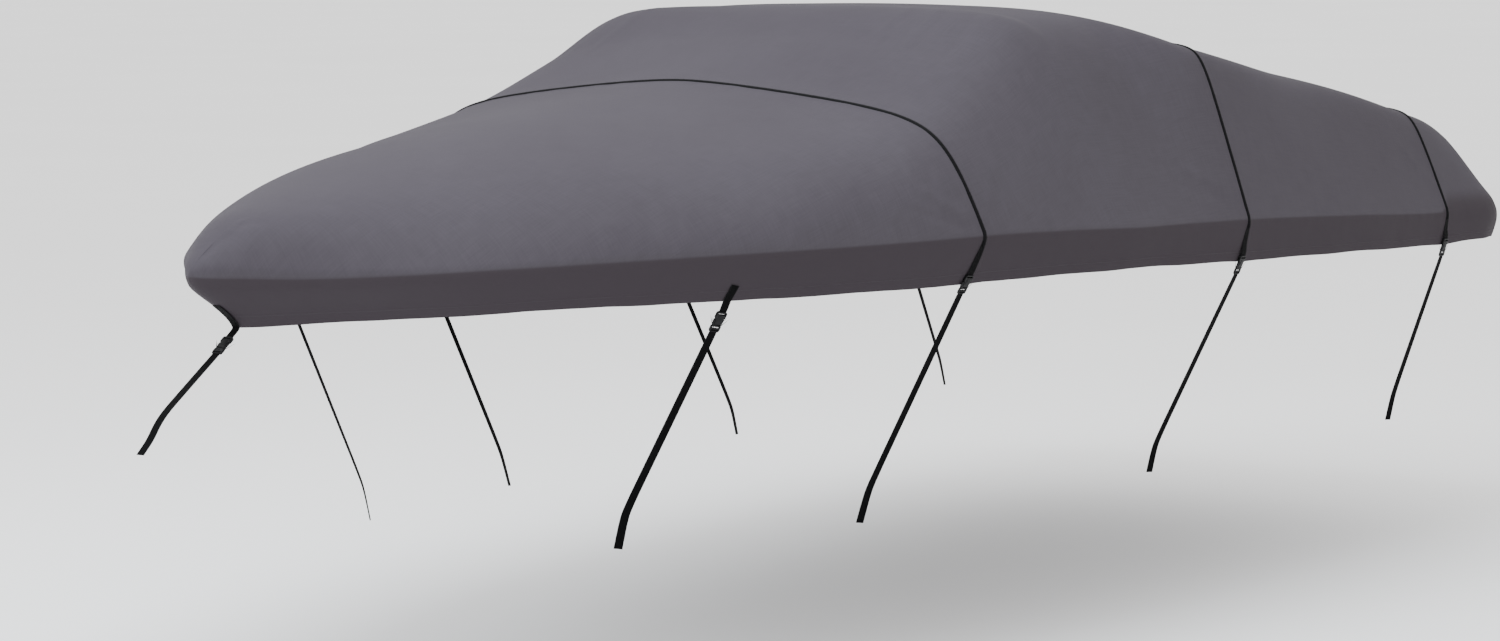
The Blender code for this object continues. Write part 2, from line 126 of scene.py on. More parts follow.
BUCKLE_WIDTH = 0.034
BUCKLE_DEPTH = 0.008
BUCKLE_STANDOFF = 0.0075
JOINT_GAP = 0.0004
BUCKLE_REACH = BUCKLE_LENGTH / 2 + JOINT_GAP
BUCKLE_SHARP = math.radians(38)
WORN_CORNER = 1.02       # shell factor from which a buckle's corner is rubbed
WORN_CORNER_GAIN = 4.0
TAB_HOLD = 0.006         # how far the tab reaches into the buckle, and the strap
STRAP_HOLD = 0.010
STRAIGHT_END = 0.007
BEND_EASE = 0.02

# -------- camera, from an earlier fit than the sections

PHOTO_WIDTH = 1500
SENSOR = 36.0
FOCAL_PIXELS = 3777.65
CAMERA_PLACE = Vector((6.657, -9.686, 0.2337))
CAMERA_AZIMUTH = math.radians(36.0)
CAMERA_PITCH = math.radians(5.93)
CAMERA_ROLL = math.radians(-0.332)


def add_object(name, data):
    """New object in the scene."""
    made = bpy.data.objects.new(name, data)
    bpy.context.scene.collection.objects.link(made)
    return made


def add_camera():
    """Camera at the photo's viewing angle."""
    data = bpy.data.cameras.new("camera")
    data.sensor_width = SENSOR
    data.sensor_fit = "HORIZONTAL"
    data.lens = FOCAL_PIXELS * SENSOR / PHOTO_WIDTH
    data.clip_end = 1000.0
    made = add_object("camera", data)
    made.matrix_world = (
        Matrix.Translation(CAMERA_PLACE) @ Matrix.Rotation(CAMERA_AZIMUTH, 4, "Z")
        @ Matrix.Rotation(math.pi / 2 - CAMERA_PITCH, 4, "X")
        @ Matrix.Rotation(CAMERA_ROLL, 4, "Z"))
    bpy.context.scene.camera = made


# -------- the surface

def monotone_curve(xs, ys):
    """Smooth curve through the points that never overshoots them, for arrays of places."""
    xs, ys = np.array(xs), np.array(ys)
    steps = np.diff(xs)
    slopes = np.diff(ys) / steps

    def end_slope(near_step, far_step, near, far):
        slope = ((2 * near_step + far_step) * near - near_step * far) / (near_step + far_step)
        if slope * near <= 0:
            return 0.0
        if near * far < 0 and abs(slope) > 3 * abs(near):
            return 3 * near
        return slope

    tangents = np.zeros(len(xs))
    tangents[0] = end_slope(*steps[:2], *slopes[:2])
    tangents[-1] = end_slope(*steps[:-3:-1], *slopes[:-3:-1])
    for k in range(1, len(slopes)):
        if slopes[k - 1] * slopes[k] > 0:
            before = 2 * steps[k] + steps[k - 1]
            after = steps[k] + 2 * steps[k - 1]
            tangents[k] = (before + after) / (before / slopes[k - 1] + after / slopes[k])

    def curve(x):
        k = np.clip(np.searchsorted(xs, x, side="left") - 1, 0, len(steps) - 1)
        t = np.clip((x - xs[k]) / steps[k], 0.0, 1.0)
        rise = 3 * t ** 2 - 2 * t ** 3
        lead = (t ** 3 - 2 * t ** 2 + t) * steps[k] * tangents[k]
        trail = (t ** 3 - t ** 2) * steps[k] * tangents[k + 1]
        return ys[k] + (ys[k + 1] - ys[k]) * rise + lead + trail

    return curve


def smoothstep(x):
    """0 below 0, 1 above 1 and smooth between."""
    x = np.clip(x, 0.0, 1.0)
    return x * x * (3 - 2 * x)


def bell(distance, width):
    """1 at no distance, and falling away on both sides over a width."""
    return np.exp(-(distance / width) ** 2)


def run_along(points):
    """Distance along a line to each of its points."""
    return np.concatenate([[0.0], np.cumsum(np.linalg.norm(np.diff(points, axis=0), axis=1))])


def at_runs(places, run, points):
    """Values of a line's points, interpolated at distances along it."""
    return np.stack([np.interp(places, run, values) for values in points.T], axis=-1)


def unit(vectors):
    """Vectors of length 1."""
    return vectors / np.linalg.norm(vectors, axis=1)[:, None]


ROOTS = [math.sqrt(station.aft) for station in STATIONS]
COLUMNS = {
    name: monotone_curve(ROOTS, [getattr(station, name) for station in STATIONS])
    for name in Station._fields[1:]
}


def column(name, aft):
    """Value of one column of the station table at distances from the bow tip."""
    return COLUMNS[name](np.sqrt(np.clip(aft, 0.0, TRANSOM)))


def place(out, aft, height):
    """Points of the frame from half width, distance aft and height over the ground."""
    parts = np.broadcast_arrays(out, aft - SUPPORT_AFT, height - SUPPORT_HEIGHT)
    return np.stack(parts, axis=-1)


def deck_points(aft, across):
    """Outer face of the cloth over the deck; across runs from -1 starboard to 1 port."""
    t = np.abs(across) ** ACROSS_EASE
    beam, crown = column("beam", aft), column("crown", aft)
    middle = (1 - t) ** 2
    turn = 2 * column("sharp", aft) * t * (1 - t)
    edge = t * t
    total = middle + turn + edge
    out = (turn * column("shoulder", aft) + edge) * beam / total
    up = (middle + turn * column("arch", aft)) * crown / total
    reach = np.maximum(column("shoulder", aft) * beam, LEAST_REACH)
    fall = (1 - column("arch", aft)) * crown / reach
    up = up - fall * CENTRE_ROUND * np.exp(-out / CENTRE_ROUND)
    return place(np.copysign(out, across), aft, column("rim", aft) + up)


def hem_depth(aft):
    """Depth of the skirt, with the dips under the straps and a slight wave between them."""
    depth = column("drop", aft) + HEM_WAVE * np.sin(math.tau * aft / HEM_WAVE_LENGTH)
    for strap in STRAPS:
        depth = depth + HEM_DIP * bell(aft - strap.aft, HEM_DIP_REACH)
    return depth


def skirt_points(rim, outward, aft, depth):
    """Outer face of the skirt under gunwale points; depth runs from 0 to 1 at the hem."""
    sweep = column("sweep", aft)
    under = sweep * smoothstep(depth) + (1 - sweep) * depth ** SKIRT_ROLL
    points = rim - outward * (column("tuck", aft) * under)[..., None]
    points[..., 1] += column("rake", aft) * under
    points[..., 2] -= hem_depth(aft) * depth
    return points


def rim_outward(aft, side):
    """Level unit vector away from the boat at one gunwale point."""
    root = math.sqrt(aft)
    low, high = max(root - RIM_PROBE, 0.0), min(root + RIM_PROBE, ROOTS[-1])
    widening = COLUMNS["beam"](high) - COLUMNS["beam"](low)
    outward = Vector((high ** 2 - low ** 2, -widening, 0.0)).normalized()
    outward.x *= side
    return outward


def side_skirt_point(aft, side, depth):
    """One point of the skirt's outer face on one side of the boat."""
    outward = np.array(rim_outward(aft, side))
    return Vector(skirt_points(deck_points(aft, side), outward, aft, depth))


def skirt_run(aft, side, depth):
    """One such point and the unit vector from it down the skirt."""
    here = side_skirt_point(aft, side, depth)
    return here, (side_skirt_point(aft, side, depth + DEPTH_PROBE) - here).normalized()


# -------- cloth panels

GRID_STEP = 0.0125       # of the cloth's mesh
BOW_GRID_STEP = 0.0150   # the bow panel is the longest
FINE_PLACES = 600        # for measuring along a section
FINE_ROWS = 4000
ROW_LINES = (0.0, 0.7, 1.0)  # across, where the rows' steps are measured
RIM_PROBE = 0.004
ROLL_SHARES = (0.0, 0.2, 0.4, 0.6, 0.8, 1.0, 1.35, 1.85, 2.45)  # columns at the gunwale
ROLL_SHARE_LIMIT = 0.30  # most of a half section that the turn takes
SEAM_ROWS = (0.0001, 0.003, 0.0055, 0.007, 0.0085, 0.010, 0.0125, 0.017, 0.024, 0.034)
SEAM_STITCH = 0.0085     # from the seam to each row of its stitching
TRANSOM_ROWS = (0.0, 0.012, 0.024, 0.036, 0.048, 0.060)
SKIRT_LEVELS = (0.030, 0.060, 0.090, 0.120, 0.150, 0.205, 0.27, 0.34, 0.41, 0.48, 0.55, 0.62,
                0.68, 0.725, 0.745, 0.757, 0.769, 0.785, 0.83, 0.88, 0.93, 0.975, 1.0)
HEM_STITCH = 0.785       # level of the hem's stitching down the skirt
HEM_BAND = 0.745         # level where its folded band starts
FLANK_COLUMNS = 112      # from the centreline to the rolled gunwale
BOW_EASING = 2
STERN_EASING = 12
CORNER_REACH = 0.16      # of the easing of the cloth at the stern's corners
CORNER_ROUNDS = 60
OPEN_EDGE_COUNT = 6      # vertices on an open edge have fewer neighbours, counted by faces

Panel = namedtuple("Panel", "name front back flat_width flat_length area")
PANELS = (
    Panel("bow", 0.0, SEAM_WINDSHIELD, 2.70, 2.35, 4.1),
    Panel("windshield", SEAM_WINDSHIELD, SEAM_COCKPIT, 3.10, 1.50, 4.5),
    Panel("cockpit", SEAM_COCKPIT, SEAM_STERN, 3.20, 1.45, 4.5),
    Panel("stern", SEAM_STERN, TRANSOM, 3.00, 0.95, 2.1),
)


def row_places(panel):
    """Distances aft of a panel's rows: even steps along the cloth, close ones at its seams."""
    roots = np.linspace(math.sqrt(panel.front), math.sqrt(panel.back), FINE_ROWS)
    aft = roots ** 2
    steps = [np.linalg.norm(np.diff(deck_points(aft, across), axis=0), axis=1)
             for across in ROW_LINES]
    run = np.concatenate([[0.0], np.cumsum(np.max(steps, axis=0))])
    start = [0.0] if panel.front == 0.0 else list(SEAM_ROWS)
    end = list(TRANSOM_ROWS if panel.back == TRANSOM else SEAM_ROWS)
    step = BOW_GRID_STEP if panel.front == 0.0 else GRID_STEP
    count = round((run[-1] - start[-1] - end[-1]) / step)
    even = np.linspace(start[-1], run[-1] - end[-1], count + 1)[1:-1]
    runs = np.concatenate([start, even, run[-1] - np.array(end[::-1])])
    return np.interp(runs, run, aft)


def half_section(aft):
    """Across places and their distance from the gunwale, on one row, centreline to gunwale."""
    fine = np.linspace(0.0, 1.0, FINE_PLACES)
    run = run_along(deck_points(aft, fine))
    near = np.array(ROLL_SHARES) * min(column("roll", aft), ROLL_SHARE_LIMIT * run[-1])
    flank = np.linspace(0.0, run[-1] - near[-1], FLANK_COLUMNS + 1)
    wanted = np.concatenate([flank, run[-1] - near[-2::-1]])
    return np.interp(wanted, run, fine), run[-1] - wanted


class Cloth:
    """Vertices and faces of one panel.

    Each vertex has its point, its place in the flat cloth, its distance aft, its distance
    above the gunwale along the cloth, its distance from the hem, and its side.
    """

    def __init__(self):
        self.faces, self.count = [], 0
        self.stores = {name: [] for name in ("points", "flat", "aft", "up", "hem", "side")}

    def add(self, **values):
        """Add vertices and return their numbers."""
        first = self.count
        self.count += len(values["points"])
        for name, value in values.items():
            shape = (self.count - first, *np.shape(value)[1:])
            self.stores[name].append(np.broadcast_to(value, shape).astype(float))
        return np.arange(first, self.count)

    def fill(self, *corners):
        """Add faces from rows of their corners; a corner that a face has twice counts once."""
        self.faces += [[int(corner) for corner in dict.fromkeys(loop)] for loop in zip(*corners)]

    def array(self, name):
        """One kind of value of all vertices."""
        return np.concatenate(self.stores[name])


def lay_deck(cloth, rows):
    """Vertex numbers of the cloth over the deck, one row for each distance aft."""
    grid = []
    for aft in rows:
        across, up = half_section(aft)
        across = np.concatenate([-across[:0:-1], across])
        points = deck_points(aft, across)
        flat = np.concatenate([up[:0:-1] - up[0], up[0] - up])
        flat = np.stack([flat, np.full(len(flat), aft)], axis=1)
        up = np.concatenate([up[:0:-1], up])
        if aft == 0.0:
            tip = cloth.add(points=points[:1], flat=flat[:1], aft=0.0, up=0.0, hem=1.0, side=0.0)
            grid.append(np.repeat(tip, len(across)))
        else:
            grid.append(cloth.add(points=points, flat=flat, aft=aft, up=up, hem=1.0,
                                  side=np.sign(across)))
    for front, back in zip(grid, grid[1:]):
        cloth.fill(front[:-1], front[1:], back[1:], back[:-1])
    return grid


def chain_outward(points, rounds):
    """Level outward vectors along a chain of gunwale points that runs clockwise from above."""
    run = np.gradient(points[:, :2], axis=0)
    outward = unit(np.stack([run[:, 1], -run[:, 0], np.zeros(len(run))], axis=1))
    for _ in range(rounds):
        outward[1:-1] = (outward[:-2] + outward[1:-1] + outward[2:]) / 3
    return unit(outward)


def hang_skirt(cloth, chain, aft, rounds):
    """Hang a skirt from a chain of gunwale vertices and return its rows of vertices."""
    points = cloth.array("points")[chain]
    flat = cloth.array("flat")[chain]
    outward = chain_outward(points, rounds)
    side = np.sign(points[:, 0])
    depths = hem_depth(aft)
    levels = [chain]
    for level in SKIRT_LEVELS:
        down = level * depths
        levels.append(cloth.add(
            points=skirt_points(points, outward, aft, level),
            flat=flat + outward[:, :2] * down[:, None], aft=aft, up=-down,
            hem=depths - down, side=side))
    for high, low in zip(levels, levels[1:]):
        cloth.fill(high[:-1], low[:-1], low[1:], high[1:])
    return levels


def rounded_turn(flank, skirt, roll, depth):
    """Deck and skirt points of one section with the turn over the gunwale rounded.

    Both lists start at the gunwale; the skirt's has one point for each of SKIRT_LEVELS after it.
    """
    flank, skirt = flank.copy(), skirt.copy()
    runs = run_along(flank)
    levels = np.array([0.0, *SKIRT_LEVELS])
    reach = min(roll, 0.9 * runs[-1])
    level = min(reach / depth, levels[-1])
    top = at_runs(reach, runs, flank)
    bottom = at_runs(level, levels, skirt)
    corner = flank[0].copy()
    for k, run in enumerate(runs):
        if run < reach:
            flank[k] = bezier(top, corner, bottom, 0.5 - run / reach / 2)
    for k, down in enumerate(levels):
        if down < level:
            skirt[k] = bezier(top, corner, bottom, 0.5 + down / level / 2)
    return flank, skirt


def bezier(start, middle, end, t):
    """Point of a quadratic curve."""
    return start * (1 - t) ** 2 + middle * 2 * t * (1 - t) + end * t * t


def round_gunwale(points, chain, aft, levels, flanks):
    """Round the turn from the deck over the gunwale into the skirt."""
    depths = hem_depth(aft)
    turned = {}
    for k, corner in enumerate(chain):
        below = [row[k] for row in levels]
        flank, skirt = rounded_turn(points[flanks[int(corner)]], points[below],
                                    float(column("roll", aft[k])), depths[k])
        turned.update(zip(map(int, flanks[int(corner)]), flank))
        turned.update(zip(map(int, below), skirt))
    for vertex, point in turned.items():
        points[vertex] = point


def ease_corners(points, faces):
    """Smooth the cloth round the stern's corners."""
    loops = np.array([face for face in faces if len(face) == 4])
    edges = np.concatenate([loops[:, [k, (k + 1) % 4]] for k in range(4)])
    edges = np.concatenate([edges, edges[:, ::-1]])
    count = np.bincount(edges[:, 0], minlength=len(points))
    away = np.min([np.linalg.norm(points - deck_points(TRANSOM, side), axis=1)
                   for side in (-1, 1)], axis=0)
    share = smoothstep(1.0 - away / CORNER_REACH)
    share[count < OPEN_EDGE_COUNT] = 0.0
    for _ in range(CORNER_ROUNDS):
        total = np.zeros_like(points)
        np.add.at(total, edges[:, 0], points[edges[:, 1]])
        points += share[:, None] * 0.5 * (total / np.maximum(count, 1)[:, None] - points)


def lay_cloth(panel):
    """Smooth sheet of one panel: its cloth, deck grid, skirts and points."""
    rows = row_places(panel)
    cloth = Cloth()
    grid = lay_deck(cloth, rows)
    port = np.array([row[-1] for row in grid])
    starboard = np.array([row[0] for row in grid])
    near = len(ROLL_SHARES)
    flanks = {}
    for row in grid:
        flanks[int(row[0])] = row[:near]
        flanks[int(row[-1])] = row[:-near - 1:-1]
    if panel.front == 0.0:
        chains = [(np.concatenate([starboard[::-1], port[1:]]),
                   np.concatenate([rows[::-1], rows[1:]]), BOW_EASING)]
        middle = len(grid[1]) // 2
        flanks[int(grid[0][0])] = np.array([row[middle] for row in grid[:near]])
    elif panel.back == TRANSOM:
        across = grid[-1][-2:0:-1]
        chains = [(np.concatenate([port, across, starboard[::-1]]),
                   np.concatenate([rows, np.full(len(across), TRANSOM), rows[::-1]]),
                   STERN_EASING)]
        columns = np.array(grid[-1:-len(TRANSOM_ROWS) - 3:-1]).T
        flanks.update({int(column[0]): column for column in columns[1:-1]})
    else:
        chains = [(port, rows, 0), (starboard[::-1], rows[::-1], 0)]
    skirts = [hang_skirt(cloth, chain, aft, rounds) for chain, aft, rounds in chains]
    points = cloth.array("points")
    for (chain, aft, _), levels in zip(chains, skirts):
        round_gunwale(points, chain, aft, levels, flanks)
    if panel.back == TRANSOM:
        ease_corners(points, cloth.faces)
    return cloth, points, grid, skirts


# -------- folds and seams in the cloth

# Smooth noise in the cloth: height, size along each axis, and seed
Ripple = namedtuple("Ripple", "height size seed")
BROAD_SWELL = Ripple(0.00480, (0.55, 0.75, 0.55), 1)
GUNWALE_PUCKER = Ripple(0.00096, (0.25, 0.045, 0.25), 2)
SKIRT_RIPPLE = Ripple(0.00272, (0.17, 0.17, 0.35), 3)
SKIRT_CRUMPLE = Ripple(0.00096, (0.06, 0.06, 0.2), 4)
SEAM_PUCKER = Ripple(0.00128, (0.055, 0.4, 0.055), 5)
SWELL_FADE = 0.12        # above the gunwale
SKIRT_FADE = 0.09        # below it
PUCKER_REACH = 0.045     # from the gunwale or a seam
SEAM_HOLD = 0.10         # from a seam, where it holds the cloth smooth
SEAM_SLACK = 0.35        # share of the skirt's ripple that is left there
SEAM_FLAT = 0.012
TRANSOM_CRUMPLE = 0.4    # share of the skirt's crumple behind the stern
SEAM_RIDGE = 0.0013      # height of the folded layers beside a seam
SEAM_RIDGE_WIDTH = 0.013
SEAM_RIDGE_EDGE = 0.005
HEM_LAYER = 0.0009       # the hem's second layer, and its edge as a level of the skirt
HEM_BAND_EDGE = 0.02
STITCH_SINK = 0.0006     # how deep stitches pull the cloth, and the groove's half width
STITCH_GROOVE = 0.0016
HEM_GROOVE = 0.014       # the same at the hem, as a level of the skirt
# Painted shade: the skirt faces down and away from the light, so its cloth is coloured darker from
# the gunwale down
SHADE_SPREAD = 0.060      # how far the skirt's painted shade fades up the cloth at the stern
SHADE_SPREAD_AFT = 4.80
SHADE_SPREAD_REACH = 0.10
SHADE_TOP = 0.003         # above the gunwale elsewhere, and the width of its edge
SHADE_EDGE = 0.008
SHADE_LIFT = 1.4

FOLD_START = 0.6         # a crease's width at its start, as a share, and how much it widens
FOLD_WIDENING = 0.8
FOLD_RISE = 0.35         # shares of its length over which it rises and falls
FOLD_FALL = 0.25
FOLD_END = 0.03          # from a seam

# Rubbed cloth by its distance above the gunwale, from the hem and from a seam: the place
# that is rubbed most, how much, and the width
Rub = namedtuple("Rub", "place share width")
RUBS = (Rub(0.002, 0.55, 0.012), Rub(0.0, 0.70, 0.004), Rub(0.006, 0.35, 0.003))

# Creases. Those to port are placed by the photo and those to starboard are made up, because the
# photo hides most of that side. Columns: both ends as distance aft and distance above the
# gunwale along the cloth, half width, height (a trough if negative), and the side that has it
Fold = namedtuple("Fold", "aft up aft_end up_end width height side")
FOLDS = [Fold(*row) for row in (
    (2.36, 0.78, 2.72, 0.98, 0.018, 0.0026, 1),
    (2.30, 0.60, 2.74, 0.86, 0.022, -0.0022, 1),
    (2.42, 0.95, 2.74, 1.08, 0.015, 0.0020, 1),
    (3.22, 0.72, 3.40, 0.62, 0.013, 0.0026, 1),
    (3.18, 0.66, 3.39, 0.55, 0.012, -0.0020, 1),
    (3.10, 0.20, 3.38, 0.07, 0.018, 0.0024, 1),
    (3.02, 0.15, 3.34, 0.05, 0.016, -0.0020, 1),
    (4.62, 0.26, 4.83, 0.10, 0.018, 0.0022, 1),
    (1.80, 0.18, 2.01, 0.03, 0.016, 0.0026, 1),
    (1.72, 0.11, 1.98, 0.02, 0.013, -0.0020, 1),
    (2.06, 0.05, 2.22, 0.24, 0.016, 0.0022, 1),
    (0.02, 0.05, 0.12, 0.20, 0.011, -0.0028, 1),
    (0.06, 0.12, 0.19, 0.27, 0.012, 0.0028, 1),
    (0.08, 0.01, 0.16, 0.21, 0.011, 0.0032, 1),
    (0.11, 0.03, 0.20, 0.24, 0.012, -0.0028, 1),
    (0.82, 0.01, 0.86, 0.14, 0.012, 0.0022, 1),
    (0.93, 0.04, 1.02, 0.22, 0.013, -0.0026, 1),
    (1.08, 0.09, 1.10, 0.20, 0.012, 0.0028, 1),
    (1.18, 0.09, 1.19, 0.20, 0.012, -0.0024, 1),
    (1.75, 0.07, 1.92, 0.33, 0.014, 0.0028, 1),
    (1.86, 0.06, 1.94, 0.26, 0.013, -0.0026, 1),
    (2.34, 0.70, 2.72, 0.90, 0.019, 0.0024, -1),
    (2.28, 0.52, 2.70, 0.76, 0.020, -0.0020, -1),
    (3.20, 0.64, 3.40, 0.54, 0.014, 0.0022, -1),
    (3.06, 0.18, 3.38, 0.06, 0.017, 0.0024, -1),
    (1.76, 0.15, 2.00, 0.03, 0.015, 0.0024, -1),
    (4.58, 0.22, 4.82, 0.08, 0.018, 0.0022, -1),
    (0.08, 0.14, 0.26, 0.04, 0.012, 0.0020, -1),
)]


def ripple(points, kind):
    """Height of one kind of smooth noise at points."""
    shift = Vector((kind.seed * 7.31, kind.seed * 3.17, kind.seed * 5.73))
    spots = points / np.array(kind.size)
    return kind.height * np.array([noise.noise(Vector(spot) + shift) for spot in spots])


def fold_height(aft, up, side):
    """Height of the listed creases."""
    height = np.zeros(len(aft))
    for fold in FOLDS:
        along = np.array([fold.aft_end - fold.aft, fold.up_end - fold.up])
        length = np.linalg.norm(along)
        along = along / length
        away = np.stack([aft - fold.aft, up - fold.up], axis=1)
        run = away @ along / length
        off = away @ np.array([-along[1], along[0]])
        width = fold.width * (FOLD_START + FOLD_WIDENING * np.clip(run, 0.0, 1.0))
        ends = smoothstep(run / FOLD_RISE) * smoothstep((1.0 - run) / FOLD_FALL)
        height += fold.height * ends * bell(off, width) * (side == fold.side)
    return height


def seam_distance(aft, panel):
    """Distance from the nearer seam of a panel, and 1 m where it has none."""
    front = aft - panel.front if panel.front > 0.0 else np.full(len(aft), 1.0)
    back = panel.back - aft if panel.back < TRANSOM else np.full(len(aft), 1.0)
    return np.minimum(front, back)


def cloth_relief(panel, points, aft, up, hem, side):
    """How far each vertex stands out of the smooth surface."""
    seam = seam_distance(aft, panel)
    free = smoothstep(seam / SEAM_HOLD)
    level = up_level(up, hem)
    relief = ripple(points, BROAD_SWELL) * smoothstep(up / SWELL_FADE) * free
    relief += fold_height(aft, up, side) * smoothstep(seam / FOLD_END)
    relief += ripple(points, GUNWALE_PUCKER) * np.abs(side) * bell(up, PUCKER_REACH) * free
    skirt = ripple(points, SKIRT_RIPPLE) * (SEAM_SLACK + (1.0 - SEAM_SLACK) * free)
    behind = np.where(aft >= TRANSOM - 1e-6, TRANSOM_CRUMPLE, 1.0)
    skirt += ripple(points, SKIRT_CRUMPLE) * behind
    relief += skirt * smoothstep(-up / SKIRT_FADE)
    relief += ripple(points, SEAM_PUCKER) * bell(seam, PUCKER_REACH) * smoothstep(seam / SEAM_FLAT)
    relief += SEAM_RIDGE * (1.0 - smoothstep((seam - SEAM_RIDGE_WIDTH) / SEAM_RIDGE_EDGE))
    relief -= STITCH_SINK * bell(seam - SEAM_STITCH, STITCH_GROOVE)
    relief += HEM_LAYER * smoothstep((level - HEM_BAND) / HEM_BAND_EDGE)
    return relief - STITCH_SINK * bell(level - HEM_STITCH, HEM_GROOVE)


def up_level(up, hem):
    """Depth down the skirt from 0 to 1."""
    below = np.clip(-up, 0.0, None)
    return below / np.maximum(below + hem, 1e-6)


def lift(points, faces, relief):
    """Move the points out along the surface's normals and return them with the normals."""
    mesh = bpy.data.meshes.new("surface")
    mesh.from_pydata(points.tolist(), [], faces)
    normals = np.zeros(len(points) * 3, np.float32)
    mesh.vertex_normals.foreach_get("vector", normals)
    bpy.data.meshes.remove(mesh)
    normals = normals.reshape(-1, 3)
    return points + normals * relief[:, None], normals


# -------- materials

CLOTH_PITCH = 0.0011     # of the threads
WEBBING_PITCH = 0.0021
HERRINGBONE_WIDTH = 0.00315
PIPING_PITCH = 0.0012


class Nodes:
    """Short calls for building one material's nodes."""

    def __init__(self, name):
        self.made = bpy.data.materials.new(name)
        self.made.use_nodes = True
        self.tree = self.made.node_tree

    def feed(self, node, inputs):
        """Link a node's inputs, or set those whose value isn't a socket."""
        for key, value in inputs.items():
            if isinstance(value, bpy.types.NodeSocket):
                self.tree.links.new(value, node.inputs[key])
            else:
                node.inputs[key].default_value = value

    def node(self, kind, inputs=(), **settings):
        """Add a node with its settings and its inputs by name or number."""
        made = self.tree.nodes.new(f"ShaderNode{kind}")
        for name, value in settings.items():
            setattr(made, name, value)
        self.feed(made, dict(inputs))
        return made

    def math(self, operation, *values):
        """Result of a Math node."""
        return self.node("Math", enumerate(values), operation=operation).outputs[0]

    def plus(self, first, second):
        """Sum of two values."""
        return self.math("ADD", first, second)

    def times(self, first, second):
        """Product of two values."""
        return self.math("MULTIPLY", first, second)

    def wave(self, spot, length):
        """Sine wave of a length along a coordinate."""
        return self.math("SINE", self.times(spot, math.tau / length))

    def uv(self):
        """Coordinates in the flat cloth, in metres."""
        return self.node("UVMap", uv_map="cloth").outputs[0]

    def axes(self, vector):
        """First two coordinates of a vector."""
        return self.node("SeparateXYZ", {"Vector": vector}).outputs[:2]

    def attribute(self, name):
        """A value stored on the mesh."""
        return self.node("Attribute", attribute_name=name).outputs["Fac"]

    def noise(self, vector, scale, detail, stretch=None):
        """Noise value, on coordinates stretched by a factor for each axis."""
        if stretch is not None:
            vector = self.node("Mapping", {"Vector": vector, "Scale": stretch}).outputs[0]
        inputs = {"Vector": vector, "Scale": scale, "Detail": detail}
        return self.node("TexNoise", inputs).outputs["Fac"]

    def ramp(self, value, *stops):
        """Colour ramp between two (place, colour) stops; a number is a grey."""
        made = self.node("ValToRGB", {0: value})
        for element, (spot, colour) in zip(made.color_ramp.elements, stops):
            element.position = spot
            element.color = (*np.broadcast_to(colour, 3), 1.0)
        return made.outputs["Color"]

    def mix(self, share, first, second, blend="MIX"):
        """Mix of two colours."""
        inputs = {0: share, 6: first, 7: second}
        return self.node("Mix", inputs, data_type="RGBA", blend_type=blend).outputs[2]

    def tinted(self, colour, value, *stops):
        """Colour times a ramp."""
        return self.mix(1.0, colour, self.ramp(value, *stops), "MULTIPLY")

    def bump(self, height, distance, strength, under=None):
        """Normal from a height in units of distance, over another bump."""
        inputs = {"Strength": strength, "Distance": distance, "Height": height}
        if under is not None:
            inputs["Normal"] = under
        return self.node("Bump", inputs).outputs[0]

    def weave(self, vector, pitch):
        """Plain weave of a thread pitch in metres: height from 0 to 1."""
        warp, weft = (self.wave(axis, 2 * pitch) for axis in self.axes(vector))
        both = self.plus(self.times(warp, warp), self.times(weft, weft))
        over = self.times(warp, weft)
        return self.plus(self.times(both, 0.25), self.times(over, 0.25))

    def finish(self, colour, rough, specular=0.5, normal=None):
        """Set the shader's inputs and return the material."""
        inputs = {"Base Color": colour, "Roughness": rough, "Specular IOR Level": specular}
        if normal is not None:
            inputs["Normal"] = normal
        self.feed(self.tree.nodes["Principled BSDF"], inputs)
        return self.made


def cloth_material():
    """Matt coated charcoal polyester in a plain weave."""
    n = Nodes("coated_cloth")
    uv = n.uv()
    broad = n.noise(uv, 1.7, 2.0)
    mottle = n.noise(uv, 22.0, 5.0)
    colour = n.ramp(broad, (0.30, (0.0466, 0.0412, 0.0490)), (0.72, (0.0515, 0.0460, 0.0545)))
    colour = n.tinted(colour, mottle, (0.30, 0.965), (0.70, 1.03))
    slub = n.plus(n.noise(uv, 260.0, 2.0, (0.04, 1.0, 1.0)),
                  n.noise(uv, 260.0, 2.0, (1.0, 0.04, 1.0)))
    colour = n.tinted(colour, n.times(slub, 0.5), (0.35, 0.94), (0.65, 1.05))
    colour = n.mix(n.times(n.attribute("wear"), 0.18), colour, (0.070, 0.066, 0.072, 1.0))
    # Painted shade: the skirt, which faces down, is coloured darker from the gunwale down, and
    # from higher up at the stern
    colour = n.mix(n.times(n.attribute("dirt"), 0.90), colour, (0.0328, 0.0270, 0.0314, 1.0))
    normal = n.bump(n.weave(uv, CLOTH_PITCH), 0.00022, 0.6)
    normal = n.bump(n.noise(uv, 42.0, 6.0), 0.0006, 0.25, normal)
    normal = n.bump(n.noise(uv, 9.0, 3.0), 0.003, 0.12, normal)
    return n.finish(colour, n.plus(0.68, n.times(mottle, 0.10)), 0.05, normal)


